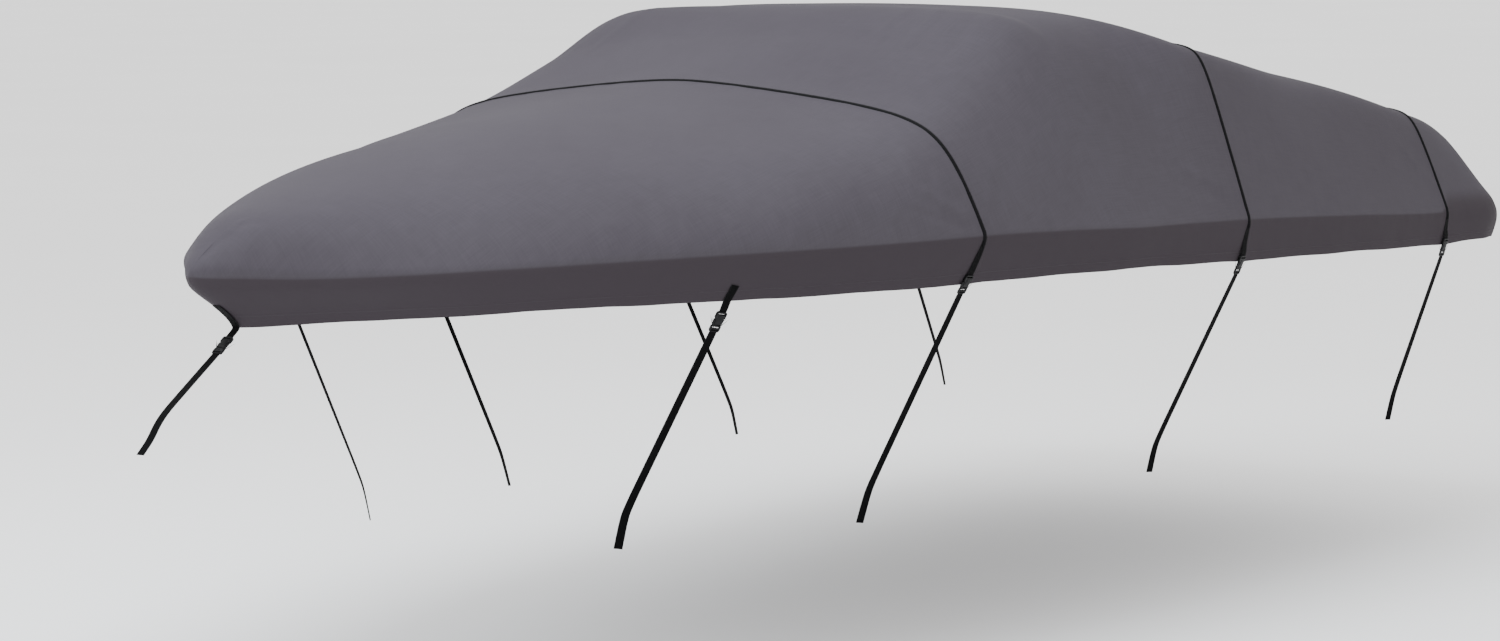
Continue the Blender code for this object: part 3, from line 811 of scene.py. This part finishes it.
def webbing_material():
    """Black woven webbing with a herringbone face and worn edges."""
    n = Nodes("woven_webbing")
    uv = n.uv()
    across, along = n.axes(uv)
    folded = n.math("PINGPONG", across, HERRINGBONE_WIDTH)
    rib = n.wave(n.plus(n.times(folded, 0.75), along), WEBBING_PITCH)
    rib = n.plus(n.times(rib, 0.5), 0.5)
    height = n.plus(n.times(rib, 0.75), n.times(n.wave(across, WEBBING_PITCH / 2), 0.12))
    fuzz = n.noise(uv, 900.0, 3.0)
    patchy = n.noise(uv, 35.0, 3.0)
    # Painted highlight and shade: the webbing is coloured lighter on the raised ribs of its weave
    # and darker in the grooves between them
    colour = n.ramp(height, (0.05, 0.0012), (0.80, (0.0040, 0.0040, 0.0046)))
    colour = n.tinted(colour, patchy, (0.35, 0.80), (0.75, (1.35, 1.35, 1.33)))
    worn = n.times(n.attribute("wear"), n.times(fuzz, 0.7))
    colour = n.mix(worn, colour, (0.030, 0.030, 0.032, 1.0))
    normal = n.bump(fuzz, 0.00012, 0.4, n.bump(height, 0.00045, 0.9))
    return n.finish(colour, n.plus(0.52, n.times(fuzz, 0.25)), 0.03, normal)


def piping_material():
    """Black cloth drawn over a cord, cut on the bias."""
    n = Nodes("piping_cloth")
    uv = n.uv()
    across, along = n.axes(uv)
    drawn = n.noise(uv, 120.0, 3.0, (0.5, 1.0, 1.0))
    twist = n.wave(n.plus(across, n.times(along, 0.8)), PIPING_PITCH)
    height = n.plus(n.times(drawn, 0.8), n.times(twist, 0.1))
    # Painted shade and highlight: the cloth is coloured darker in the hollows of its drawn
    # wrinkles and lighter on their tops
    colour = n.ramp(drawn, (0.30, (0.0018, 0.0018, 0.0021)), (0.75, (0.0055, 0.0052, 0.0062)))
    rough = n.plus(0.50, n.times(drawn, 0.2))
    return n.finish(colour, rough, 0.06, n.bump(height, 0.0007, 0.7))


def thread_material():
    """Dark polyester sewing thread, twisted."""
    n = Nodes("sewing_thread")
    fibre = n.noise(n.uv(), 1500.0, 2.0, (1.0, 0.2, 1.0))
    colour = n.ramp(fibre, (0.30, (0.020, 0.020, 0.022)), (0.75, (0.060, 0.059, 0.064)))
    return n.finish(colour, n.plus(0.36, n.times(fibre, 0.25)))


def plastic_material():
    """Black moulded acetal with a fine grain and brighter rubbed edges."""
    n = Nodes("moulded_plastic")
    spot = n.node("TexCoord").outputs["Object"]
    handled = n.noise(spot, 60.0, 3.0)
    colour = n.ramp(handled, (0.30, (0.0025, 0.0025, 0.0029)), (0.75, (0.0055, 0.0055, 0.0062)))
    colour = n.mix(n.times(n.attribute("wear"), 0.35), colour, (0.045, 0.045, 0.047, 1.0))
    grain = n.bump(n.noise(spot, 1400.0, 2.0), 0.00006, 0.6)
    return n.finish(colour, n.plus(0.36, n.times(handled, 0.20)), 0.14, grain)


def floor_material():
    """Plain pale floor."""
    n = Nodes("floor_paint")
    faint = n.noise(n.node("TexCoord").outputs["Object"], 0.35, 2.0)
    return n.finish(n.ramp(faint, (0.3, 0.90), (0.7, 0.92)), 0.9, 0.1)


# -------- making pieces

SEAM_PITCH = 0.0045      # from stitch to stitch
HEM_PITCH = 0.0050
STITCH_HALF_WIDTH = 0.00035
STITCH_HEIGHT = 0.00055
STITCH_BURIED = 0.0002
STITCH_DRIFT = 0.5       # to the side, in half widths
STITCH_GAP = 0.2         # at both ends, and its unevenness, in pitches
STITCH_UNEVEN = 0.04
STITCH_UVS = [(0.0, 0.0), *((0.0005 * k, run) for run in (0.001, 0.003) for k in range(4)),
              (0.0, 0.004)]


def finish_piece(made, surface, slot, *node_names):
    """Give a piece its material and body, and hide the CAD nodes that it replaces; its slot is not
    used.
    """
    made.data.materials.append(surface)
    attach(made, "root")
    if node_names:
        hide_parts(*node_names)
    return made


def mesh_object(name, points, faces, uvs, **values):
    """Smooth mesh object with a UV in metres and values for each vertex."""
    mesh = bpy.data.meshes.new(name)
    mesh.from_pydata([tuple(map(float, p)) for p in points], [], faces)
    layer = mesh.uv_layers.new(name="cloth")
    corners = np.zeros(len(mesh.loops), np.int32)
    mesh.loops.foreach_get("vertex_index", corners)
    layer.data.foreach_set("uv", np.asarray(uvs, np.float32)[corners].ravel())
    for key, value in values.items():
        stored = mesh.attributes.new(key, "FLOAT", "POINT")
        stored.data.foreach_set("value", np.asarray(value, np.float32))
    mesh.shade_smooth()
    return add_object(name, mesh)


def evaluated_mesh(made):
    """New mesh of an object as its modifiers or curves make it."""
    bpy.context.view_layer.update()
    evaluated = made.evaluated_get(bpy.context.evaluated_depsgraph_get())
    return bpy.data.meshes.new_from_object(evaluated)


def resample(path, step):
    """Points at even steps along a path, with the values that ride on it."""
    path = np.asarray(path, float)
    run = run_along(path[:, :3])
    count = max(2, int(round(run[-1] / step)) + 1)
    return at_runs(np.linspace(0.0, run[-1], count), run, path)


class Stitching:
    """Rows of stitches on one panel."""

    def __init__(self, seed):
        self.rng = random.Random(seed)
        self.verts, self.faces, self.uvs = [], [], []

    def sew(self, path, normals, pitch):
        """Add a row of stitches along a path on the cloth."""
        rows = resample(np.concatenate([path, normals], axis=1), pitch)
        for near, far in zip(rows, rows[1:]):
            start, end = Vector(near[:3]), Vector(far[:3])
            up = Vector(near[3:] + far[3:]).normalized()
            along = end - start
            side = along.cross(up).normalized() * STITCH_HALF_WIDTH
            drift = side * self.rng.uniform(-STITCH_DRIFT, STITCH_DRIFT)
            first = len(self.verts)
            low, top = up * -STITCH_BURIED, up * STITCH_HEIGHT
            gap = STITCH_GAP + self.rng.uniform(-STITCH_UNEVEN, STITCH_UNEVEN)
            begin, stop = start + along * gap, end - along * STITCH_GAP
            self.verts.append(begin + low + drift)
            for share in (0.25, 0.75):
                spot = begin.lerp(stop, share) + drift
                self.verts += [spot + side, spot + top, spot - side, spot + low * 2]
            self.verts.append(stop + low + drift)
            self.uvs += STITCH_UVS
            for k in range(4):
                after = (k + 1) % 4
                a, b, c, d = first + 1 + k, first + 1 + after, first + 5 + after, first + 5 + k
                self.faces += [(first, b, a), (a, b, c, d), (d, c, first + 9)]


def panel_piece(panel, looks):
    """Cloth of one panel with its rows of stitches."""
    cloth, points, grid, skirts = lay_cloth(panel)
    aft, up, hem, side = (cloth.array(name) for name in ("aft", "up", "hem", "side"))
    relief = cloth_relief(panel, points, aft, up, hem, side)
    lifted, normals = lift(points, cloth.faces, relief)
    distances = up, hem, seam_distance(aft, panel)
    rubbed = np.max([rub.share * bell(distance - rub.place, rub.width)
                     for rub, distance in zip(RUBS, distances)], axis=0)
    # Painted shade: share of the darker skirt colour, from just above the gunwale down, reaching
    # higher at the stern
    spread = SHADE_SPREAD * smoothstep((aft - SHADE_SPREAD_AFT) / SHADE_SPREAD_REACH)
    shade_mask = smoothstep((SHADE_TOP + SHADE_LIFT * spread - up) / (SHADE_EDGE + spread))
    made = mesh_object(f"cloth_{panel.name}", lifted, cloth.faces, cloth.array("flat"),
                       wear=rubbed, dirt=shade_mask)
    thick = made.modifiers.new("thickness", "SOLIDIFY")
    thick.thickness = SHEET
    thick.offset = -1.0
    thin, made.data = made.data, evaluated_mesh(made)
    made.modifiers.clear()
    bpy.data.meshes.remove(thin)
    made.data.shade_smooth()
    finish_piece(made, looks["cloth"], "cloth", f"panel_{panel.name}")

    sewing = Stitching(f"stitches {panel.name}")
    row = SEAM_ROWS.index(SEAM_STITCH)
    lines = [(grid[row], SEAM_PITCH)] if panel.front > 0.0 else []
    lines += [(grid[-1 - row], SEAM_PITCH)] if panel.back < TRANSOM else []
    hem_row = SKIRT_LEVELS.index(HEM_STITCH) + 1
    lines += [(levels[hem_row], HEM_PITCH) for levels in skirts]
    for line, pitch in lines:
        sewing.sew(lifted[line], normals[line], pitch)
    sewn = mesh_object(f"stitches_{panel.name}", sewing.verts, sewing.faces, sewing.uvs)
    return made, finish_piece(sewn, looks["thread"], "webbing")


def sweep(path, ups, profiles):
    """Closed tube: profiles gives (wide, high) points in metres for each path point."""
    verts, uvs, faces = [], [], []
    run = run_along(path)
    count = len(profiles[0])
    for k, (spot, along) in enumerate(zip(path, unit(np.gradient(path, axis=0)))):
        along, up = Vector(along), Vector(ups[k])
        up = (up - along * up.dot(along)).normalized()
        side = up.cross(along)
        girth = 0.0
        for j, (wide, high) in enumerate(profiles[k]):
            verts.append(Vector(spot) + side * wide + up * high)
            if j:
                last = profiles[k][j - 1]
                girth += math.hypot(wide - last[0], high - last[1])
            uvs.append((girth, run[k]))
    for a in range(0, (len(path) - 1) * count, count):
        for j in range(count):
            after = (j + 1) % count
            faces.append((a + j, a + after, a + count + after, a + count + j))
    faces.append(tuple(range(count - 1, -1, -1)))
    faces.append(tuple(range((len(path) - 1) * count, len(path) * count)))
    return verts, faces, uvs


PIPING_RADIUS = 0.0060
PIPING_HEIGHT = 0.0042
PIPING_BASE = 0.0016
PIPING_FLANGE = [(-0.0072, 0.0011), (-0.0070, -0.0004), (0.0070, -0.0004), (0.0072, 0.0011)]
PIPING_SWELL = 0.02      # most that its thickness varies, as a share
PIPING_STEP = 0.004
PIPING_END_LEVEL = 0.21  # where it ends down the skirt, under the tab


def seam_line(aft):
    """Points of a seam from skirt to skirt, over the rounded gunwales, starboard to port."""
    across, _ = half_section(aft)
    deck = deck_points(aft, across)
    outward = np.array(rim_outward(aft, 1))
    levels = np.array([0.0, *SKIRT_LEVELS])
    skirt = np.array([skirt_points(deck[-1], outward, aft, level) for level in levels])
    near = len(ROLL_SHARES)
    flank, skirt = rounded_turn(deck[:-near - 1:-1], skirt, float(column("roll", aft)),
                                float(hem_depth(aft)))
    half = np.concatenate([deck[:-near], flank[::-1], skirt[1:][levels[1:] <= PIPING_END_LEVEL]])
    return np.concatenate([half[:0:-1] * (-1, 1, 1), half])


def piping_piece(panel, surface):
    """Cloth-covered cord with its flat flange on top of the seam at a panel's front."""
    name, aft = f"piping_{panel.name}", panel.front
    path = resample(seam_line(aft), PIPING_STEP)
    run = np.gradient(path, axis=0)
    ups = unit(np.stack([-run[:, 2], np.zeros(len(run)), run[:, 0]], axis=1))
    slope = deck_points(aft + PIPING_STEP, 0.0) - deck_points(aft - PIPING_STEP, 0.0)
    ups[:, 1] -= slope[2] / slope[1] * np.clip(ups[:, 2], 0.0, 1.0)
    profile = [(math.cos(turn) * PIPING_RADIUS, PIPING_BASE + math.sin(turn) * PIPING_HEIGHT)
               for turn in np.linspace(0.0, math.pi, 9)]
    profile += PIPING_FLANGE
    jitter = random.Random(name)
    profiles = []
    for _ in path:
        swell = 1.0 + jitter.uniform(-PIPING_SWELL, PIPING_SWELL)
        profiles.append([(wide * swell, high * (swell if high > 0 else 1.0))
                         for wide, high in profile])
    made = mesh_object(f"corded_{name}", *sweep(path, ups, profiles))
    return finish_piece(made, surface, "piping", name)


# -------- webbing and buckles

def webbing_profile(width):
    """Section of flat webbing with rounded edges."""
    half, thick = width / 2, WEBBING / 2
    upper = ((1.0, 0.35), (0.985, 0.85), (0.9, 1.0), (0.45, 0.93), (0.0, 0.9))
    line = [(wide * half, high * thick) for wide, high in upper]
    line += [(-wide, high) for wide, high in line[-2::-1]]
    return line + [(wide, -high) for wide, high in reversed(line)]


def soften(path, rounds=3):
    """Round a path's corners, keeping its ends."""
    path = np.asarray(path, float)
    for _ in range(rounds):
        near = path[:-1] * 0.75 + path[1:] * 0.25
        far = path[:-1] * 0.25 + path[1:] * 0.75
        inner = np.stack([near, far], axis=1).reshape(-1, path.shape[1])
        path = np.concatenate([path[:1], inner[1:-1], path[-1:]])
    return path


def level_run(outward, side, turn):
    """Level unit vector aft along the gunwale, turned to face the bow by an angle."""
    angle = math.atan2(outward.y, abs(outward.x)) - turn
    return Vector((-side * math.sin(angle), math.cos(angle), 0.0))


def plate(loops, thickness, bevel, lift_by=0.0):
    """Flat plate with rounded edges, as a mesh: its outline, then its holes, x along."""
    data = bpy.data.curves.new("plate", "CURVE")
    data.dimensions = "2D"
    data.fill_mode = "BOTH"
    data.extrude = thickness / 2 - bevel
    data.bevel_depth = bevel
    data.bevel_resolution = 2
    data.offset = -bevel
    for loop in loops:
        spline = data.splines.new("POLY")
        spline.points.add(len(loop) - 1)
        for point, (x, y) in zip(spline.points, loop):
            point.co = (x, y, 0.0, 1.0)
        spline.use_cyclic_u = True
    made = add_object("plate", data)
    mesh = evaluated_mesh(made)
    bpy.data.objects.remove(made)
    bpy.data.curves.remove(data)
    mesh.transform(Matrix.Translation((0.0, 0.0, lift_by)))
    return mesh


def rounded_loop(corners, steps=5):
    """Outline from (x, y, radius) corners, counterclockwise."""
    loop = []
    count = len(corners)
    for k, (x, y, radius) in enumerate(corners):
        spot = Vector((x, y))
        before = (Vector(corners[k - 1][:2]) - spot).normalized()
        after = (Vector(corners[(k + 1) % count][:2]) - spot).normalized()
        half = before.angle(after) / 2
        reach = radius / math.tan(half)
        start, end = spot + before * reach, spot + after * reach
        loop += [tuple(bezier(start, spot, end, j / steps)) for j in range(steps + 1)]
    return loop


def mirrored(*corners):
    """Outline symmetric about its long axis, from the corners on its +y side in order of x.

    A corner is its x, its y as a share of the buckle's half width, and its radius.
    """
    half = [(x, share * BUCKLE_WIDTH / 2, radius) for x, share, radius in reversed(corners)]
    return rounded_loop([*half, *((x, -y, radius) for x, y, radius in reversed(half))])


def slot_loop(near, far, share, radius):
    """Outline of a rectangle between two x, of a share of the buckle's width."""
    return mirrored((near, share, radius), (far, share, radius))


def bar(x, half_width, radius, lift_by):
    """Round bar across the buckle."""
    bm = bmesh.new()
    bmesh.ops.create_cone(bm, cap_ends=True, segments=12, radius1=radius, radius2=radius,
                          depth=half_width * 2)
    turn = Matrix.Rotation(math.pi / 2, 4, "X")
    bm.transform(Matrix.Translation((x, 0.0, lift_by)) @ turn)
    mesh = bpy.data.meshes.new("bar")
    bm.to_mesh(mesh)
    bm.free()
    return mesh


def buckle_meshes():
    """Parts of a side-release buckle; x runs down the strap from -L/2, z faces out."""
    half = BUCKLE_LENGTH / 2
    deep = BUCKLE_DEPTH
    socket = mirrored(
        (-half, 0.80, 0.004), (-half + 0.004, 0.98, 0.004), (-0.012, 1.0, 0.003),
        (-0.0095, 0.72, 0.0012), (0.0035, 0.68, 0.0012), (0.006, 0.84, 0.0015),
        (0.0075, 0.78, 0.0015))
    plug = mirrored(
        (0.0095, 0.80, 0.001), (0.013, 0.97, 0.003), (0.022, 1.0, 0.003),
        (half - 0.001, 0.90, 0.003))
    arm = ((-0.0105, 0.74, 0.001), (-0.0085, 1.0, 0.003), (0.0, 0.95, 0.006),
           (0.011, 0.84, 0.003), (0.013, 0.62, 0.001), (0.0, 0.66, 0.003))
    slot = slot_loop(-half + 0.0045, -half + 0.0085, 0.76, 0.0008)
    gates = [slot_loop(0.0150, 0.0190, 0.74, 0.0008), slot_loop(0.0225, 0.0272, 0.74, 0.0008)]
    panel = mirrored((-0.019, 0.50, 0.003), (-0.001, 0.42, 0.003))
    parts = [
        plate([socket, slot], deep * 0.98, 0.0013),
        plate([panel], 0.0016, 0.0007, deep * 0.49),
        plate([plug, *gates], deep * 0.72, 0.0011),
        bar(0.0207, BUCKLE_WIDTH / 2 * 0.80, 0.0019, 0.0010),
    ]
    for side in (1, -1):
        corners = [(x, side * share * BUCKLE_WIDTH / 2, radius) for x, share, radius in arm]
        parts.append(plate([rounded_loop(corners[::-side])], deep * 0.62, 0.0012))
    for x in (-0.0165, -0.0130, -0.0095):
        ridge = slot_loop(x, x + 0.0014, 0.34, 0.0006)
        parts.append(plate([ridge], 0.0010, 0.0004, deep * 0.58))
    return parts


def buckle_piece(label, middle, along, wide, looks):
    """One release buckle in place, from the buckle's parts."""
    width = (wide - along * wide.dot(along)).normalized()
    outward = along.cross(width)
    if outward.x * middle.x < 0.0:
        outward.negate()
    axes = Matrix((along, outward.cross(along), outward)).transposed().to_4x4()
    bm = bmesh.new()
    for mesh in looks["buckle"]:
        bm.from_mesh(mesh)
    bm.transform(Matrix.Translation(middle) @ axes)
    bmesh.ops.recalc_face_normals(bm, faces=bm.faces[:])
    worn = bm.verts.layers.float.new("wear")
    for vert in bm.verts:
        edge = (vert.calc_shell_factor() - WORN_CORNER) * WORN_CORNER_GAIN
        vert[worn] = min(1.0, max(0.0, edge))
    mesh = bpy.data.meshes.new(f"buckle_piece_{label}")
    bm.to_mesh(mesh)
    bm.free()
    mesh.shade_smooth()
    mesh.set_sharp_from_angle(angle=BUCKLE_SHARP)
    return finish_piece(add_object(mesh.name, mesh), looks["plastic"], "buckle",
                        f"buckle_{label}")


def webbing_piece(name, path, runs, widths, looks):
    """Webbing along a path with its width directions, for the CAD node of its name.

    Its centreline is returned with it.
    """
    data = np.concatenate([path, runs, np.array(widths)[:, None]], axis=1)
    data = resample(soften(data), WEBBING_STEP)
    line, wide = data[:, :3], data[:, 6:]
    ups = np.cross(unit(np.gradient(line, axis=0)), data[:, 3:6])
    profiles = np.array([webbing_profile(width) for width in data[:, 6]])
    edge = np.abs(profiles[:, :, 0]) / (wide / 2)
    wear = smoothstep((edge - WORN_EDGE) / (1.0 - WORN_EDGE)).ravel()
    made = mesh_object(f"webbing_{name}", *sweep(line, ups, profiles), wear=wear)
    made.data.set_sharp_from_angle(angle=WEBBING_SHARP)
    return finish_piece(made, looks["webbing"], "webbing", name), line


def buckled_strap(label, middle, along, tab, narrow, onward, runs, looks):
    """Tab, buckle and strap at one place.

    The tab's points lead to the buckle and the onward points away from it. The runs are the
    webbing's width directions at each of the strap's points, the first three at the buckle.
    """
    hold = BUCKLE_LENGTH / 2
    reach = along * BUCKLE_REACH
    tab = [*tab, middle - reach - along * STRAIGHT_END, middle - along * (hold - TAB_HOLD)]
    widths = [narrow + (WEBBING_WIDTH - narrow) * min(1.0, k / TAB_WIDENING)
              for k in range(len(tab))]
    webbing_piece(f"tab_{label}", tab, [runs[0]] * len(tab), widths, looks)
    buckle = buckle_piece(label, middle, along, runs[0], looks)
    start = middle + reach
    route = [middle + along * (hold - STRAP_HOLD), start, start + along * STRAIGHT_END, *onward]
    strap, line = webbing_piece(f"strap_{label}", route, runs, [WEBBING_WIDTH] * len(route),
                                looks)


def side_strap(strap, side, looks):
    """Tab, buckle and strap at one place of one side."""
    outward = rim_outward(strap.aft, side)
    low = strap.aft - strap.lean
    hem = side_skirt_point(low, side, 1.0)
    above = side_skirt_point(low + strap.lean * HEM_STRETCH, side, 1.0 - HEM_STRETCH)
    bend = Vector(place(side * strap.bend_out, low, strap.bend_up))
    end = Vector(place(side * strap.end_out, low, strap.end_up))
    begin = hem + outward * BUCKLE_STANDOFF
    strap_run = (bend - begin).normalized()
    share = min(strap.buckle_below / BUCKLE_LENGTH, 1.0) / 2 + 0.5
    along = ((hem - above).normalized() * (1 - share) + strap_run * share).normalized()
    middle = begin + strap_run * strap.buckle_below

    last = TAB_STOPS[0] if strap.buckle_below < BUCKLE_LENGTH / 2 else TAB_STOPS[1]
    tab = []
    for depth in np.linspace(strap.top, last, TAB_POINTS):
        aft = strap.aft - strap.lean * (depth - strap.top) / (1.0 - strap.top)
        here, run = skirt_run(aft, side, depth)
        away = (outward - run * outward.dot(run)).normalized()
        tab.append(here + away * (WEBBING_LIFT + WEBBING / 2 + TAB_LIFT))
    narrow = TAB_SEAM_WIDTH if strap.top < SEAM_TAB_TOP else WEBBING_WIDTH

    start = middle + along * BUCKLE_REACH
    above_bend, below_bend = (bend + (spot - bend).normalized() * BEND_EASE
                              for spot in (start, end))
    onward = [start.lerp(above_bend, 0.3), start.lerp(above_bend, 0.7), above_bend, below_bend,
              end]
    points = len(onward) + 3
    runs = [level_run(outward, side, STRAP_TURN * max(0, k - 1) / (points - 2))
            for k in range(points)]
    label = f"{strap.name}_{'port' if side > 0 else 'starboard'}"
    buckled_strap(label, middle, along, tab, narrow, onward, runs, looks)


def nose_strap(looks):
    """Tab, buckle and strap at the bow tip, all in the middle plane."""
    wide = Vector((1.0, 0.0, 0.0))
    top, low, bend, lower, last = (
        Vector(place(0.0, *spot)) for spot in (NOSE_BUCKLE_TOP, NOSE_BUCKLE_END, *NOSE_ROUTE))
    middle = (top + low) / 2
    along = (low - top).normalized()
    tab = []
    for depth in NOSE_TAB_LEVELS:
        here, run = skirt_run(0.0, 1, depth)
        tab.append(here + run.cross(wide) * (WEBBING_LIFT + WEBBING / 2))
    start = middle + along * BUCKLE_REACH
    onward = [start.lerp(bend, share) for share in (0.3, 0.6, 0.9)]
    onward += [bend.lerp(lower, 0.3), lower, last]
    buckled_strap("nose", middle, along, tab, WEBBING_WIDTH, onward,
                  [wide] * (len(onward) + 3), looks)


# -------- stage and light

FLOOR_REACH = 400.0
WORLD_STRENGTH = 1.7
LIGHT_AIM = Vector((0.0, -1.2, -0.4))
LIGHT_COLOUR = (0.87, 0.94, 1.0)
Softbox = namedtuple("Softbox", "name spot size watts")
SOFTBOXES = (
    Softbox("key", (-3.0, -9.5, 5.0), 5.0, 610.0),        # from the bow and starboard
    Softbox("overhead", (0.5, -2.6, 4.4), 4.0, 375.0),
)


def add_floor(surface):
    """Plain pale floor at the ground under the cover."""
    mesh = bpy.data.meshes.new("floor")
    corners = [(x * FLOOR_REACH, y * FLOOR_REACH, -SUPPORT_HEIGHT)
               for x, y in ((-1, -1), (1, -1), (1, 1), (-1, 1))]
    mesh.from_pydata(corners, [], [(0, 1, 2, 3)])
    mesh.materials.append(surface)
    add_object("floor", mesh)


def add_softbox(box):
    """Square soft light, aimed at the cover."""
    data = bpy.data.lights.new(box.name, "AREA")
    data.shape = "SQUARE"
    data.size = box.size
    data.energy = box.watts
    data.color = LIGHT_COLOUR
    made = add_object(box.name, data)
    made.location = box.spot
    made.rotation_mode = "QUATERNION"
    made.rotation_quaternion = (LIGHT_AIM - Vector(box.spot)).to_track_quat("-Z", "Y")


def add_light():
    """White surroundings and the soft lights."""
    world = bpy.data.worlds.new("studio")
    world.use_nodes = True
    background = world.node_tree.nodes["Background"]
    background.inputs["Color"].default_value = (1.0, 1.0, 1.0, 1.0)
    background.inputs["Strength"].default_value = WORLD_STRENGTH
    bpy.context.scene.world = world
    for box in SOFTBOXES:
        add_softbox(box)


# -------- the whole cover

def main():
    """Camera, straps, cloth, then the stage."""
    add_camera()
    looks = {
        "cloth": cloth_material(), "webbing": webbing_material(), "piping": piping_material(),
        "thread": thread_material(), "plastic": plastic_material(), "buckle": buckle_meshes(),
    }
    nose_strap(looks)
    for strap in STRAPS:
        for side in (1, -1):
            side_strap(strap, side, looks)
    for mesh in looks["buckle"]:
        bpy.data.meshes.remove(mesh)
    piping = {panel: [piping_piece(panel, looks["piping"])] if panel.front > 0.0 else []
              for panel in PANELS}
    for panel in PANELS:
        made, sewn = panel_piece(panel, looks)
    add_floor(floor_material())
    add_light()


main()
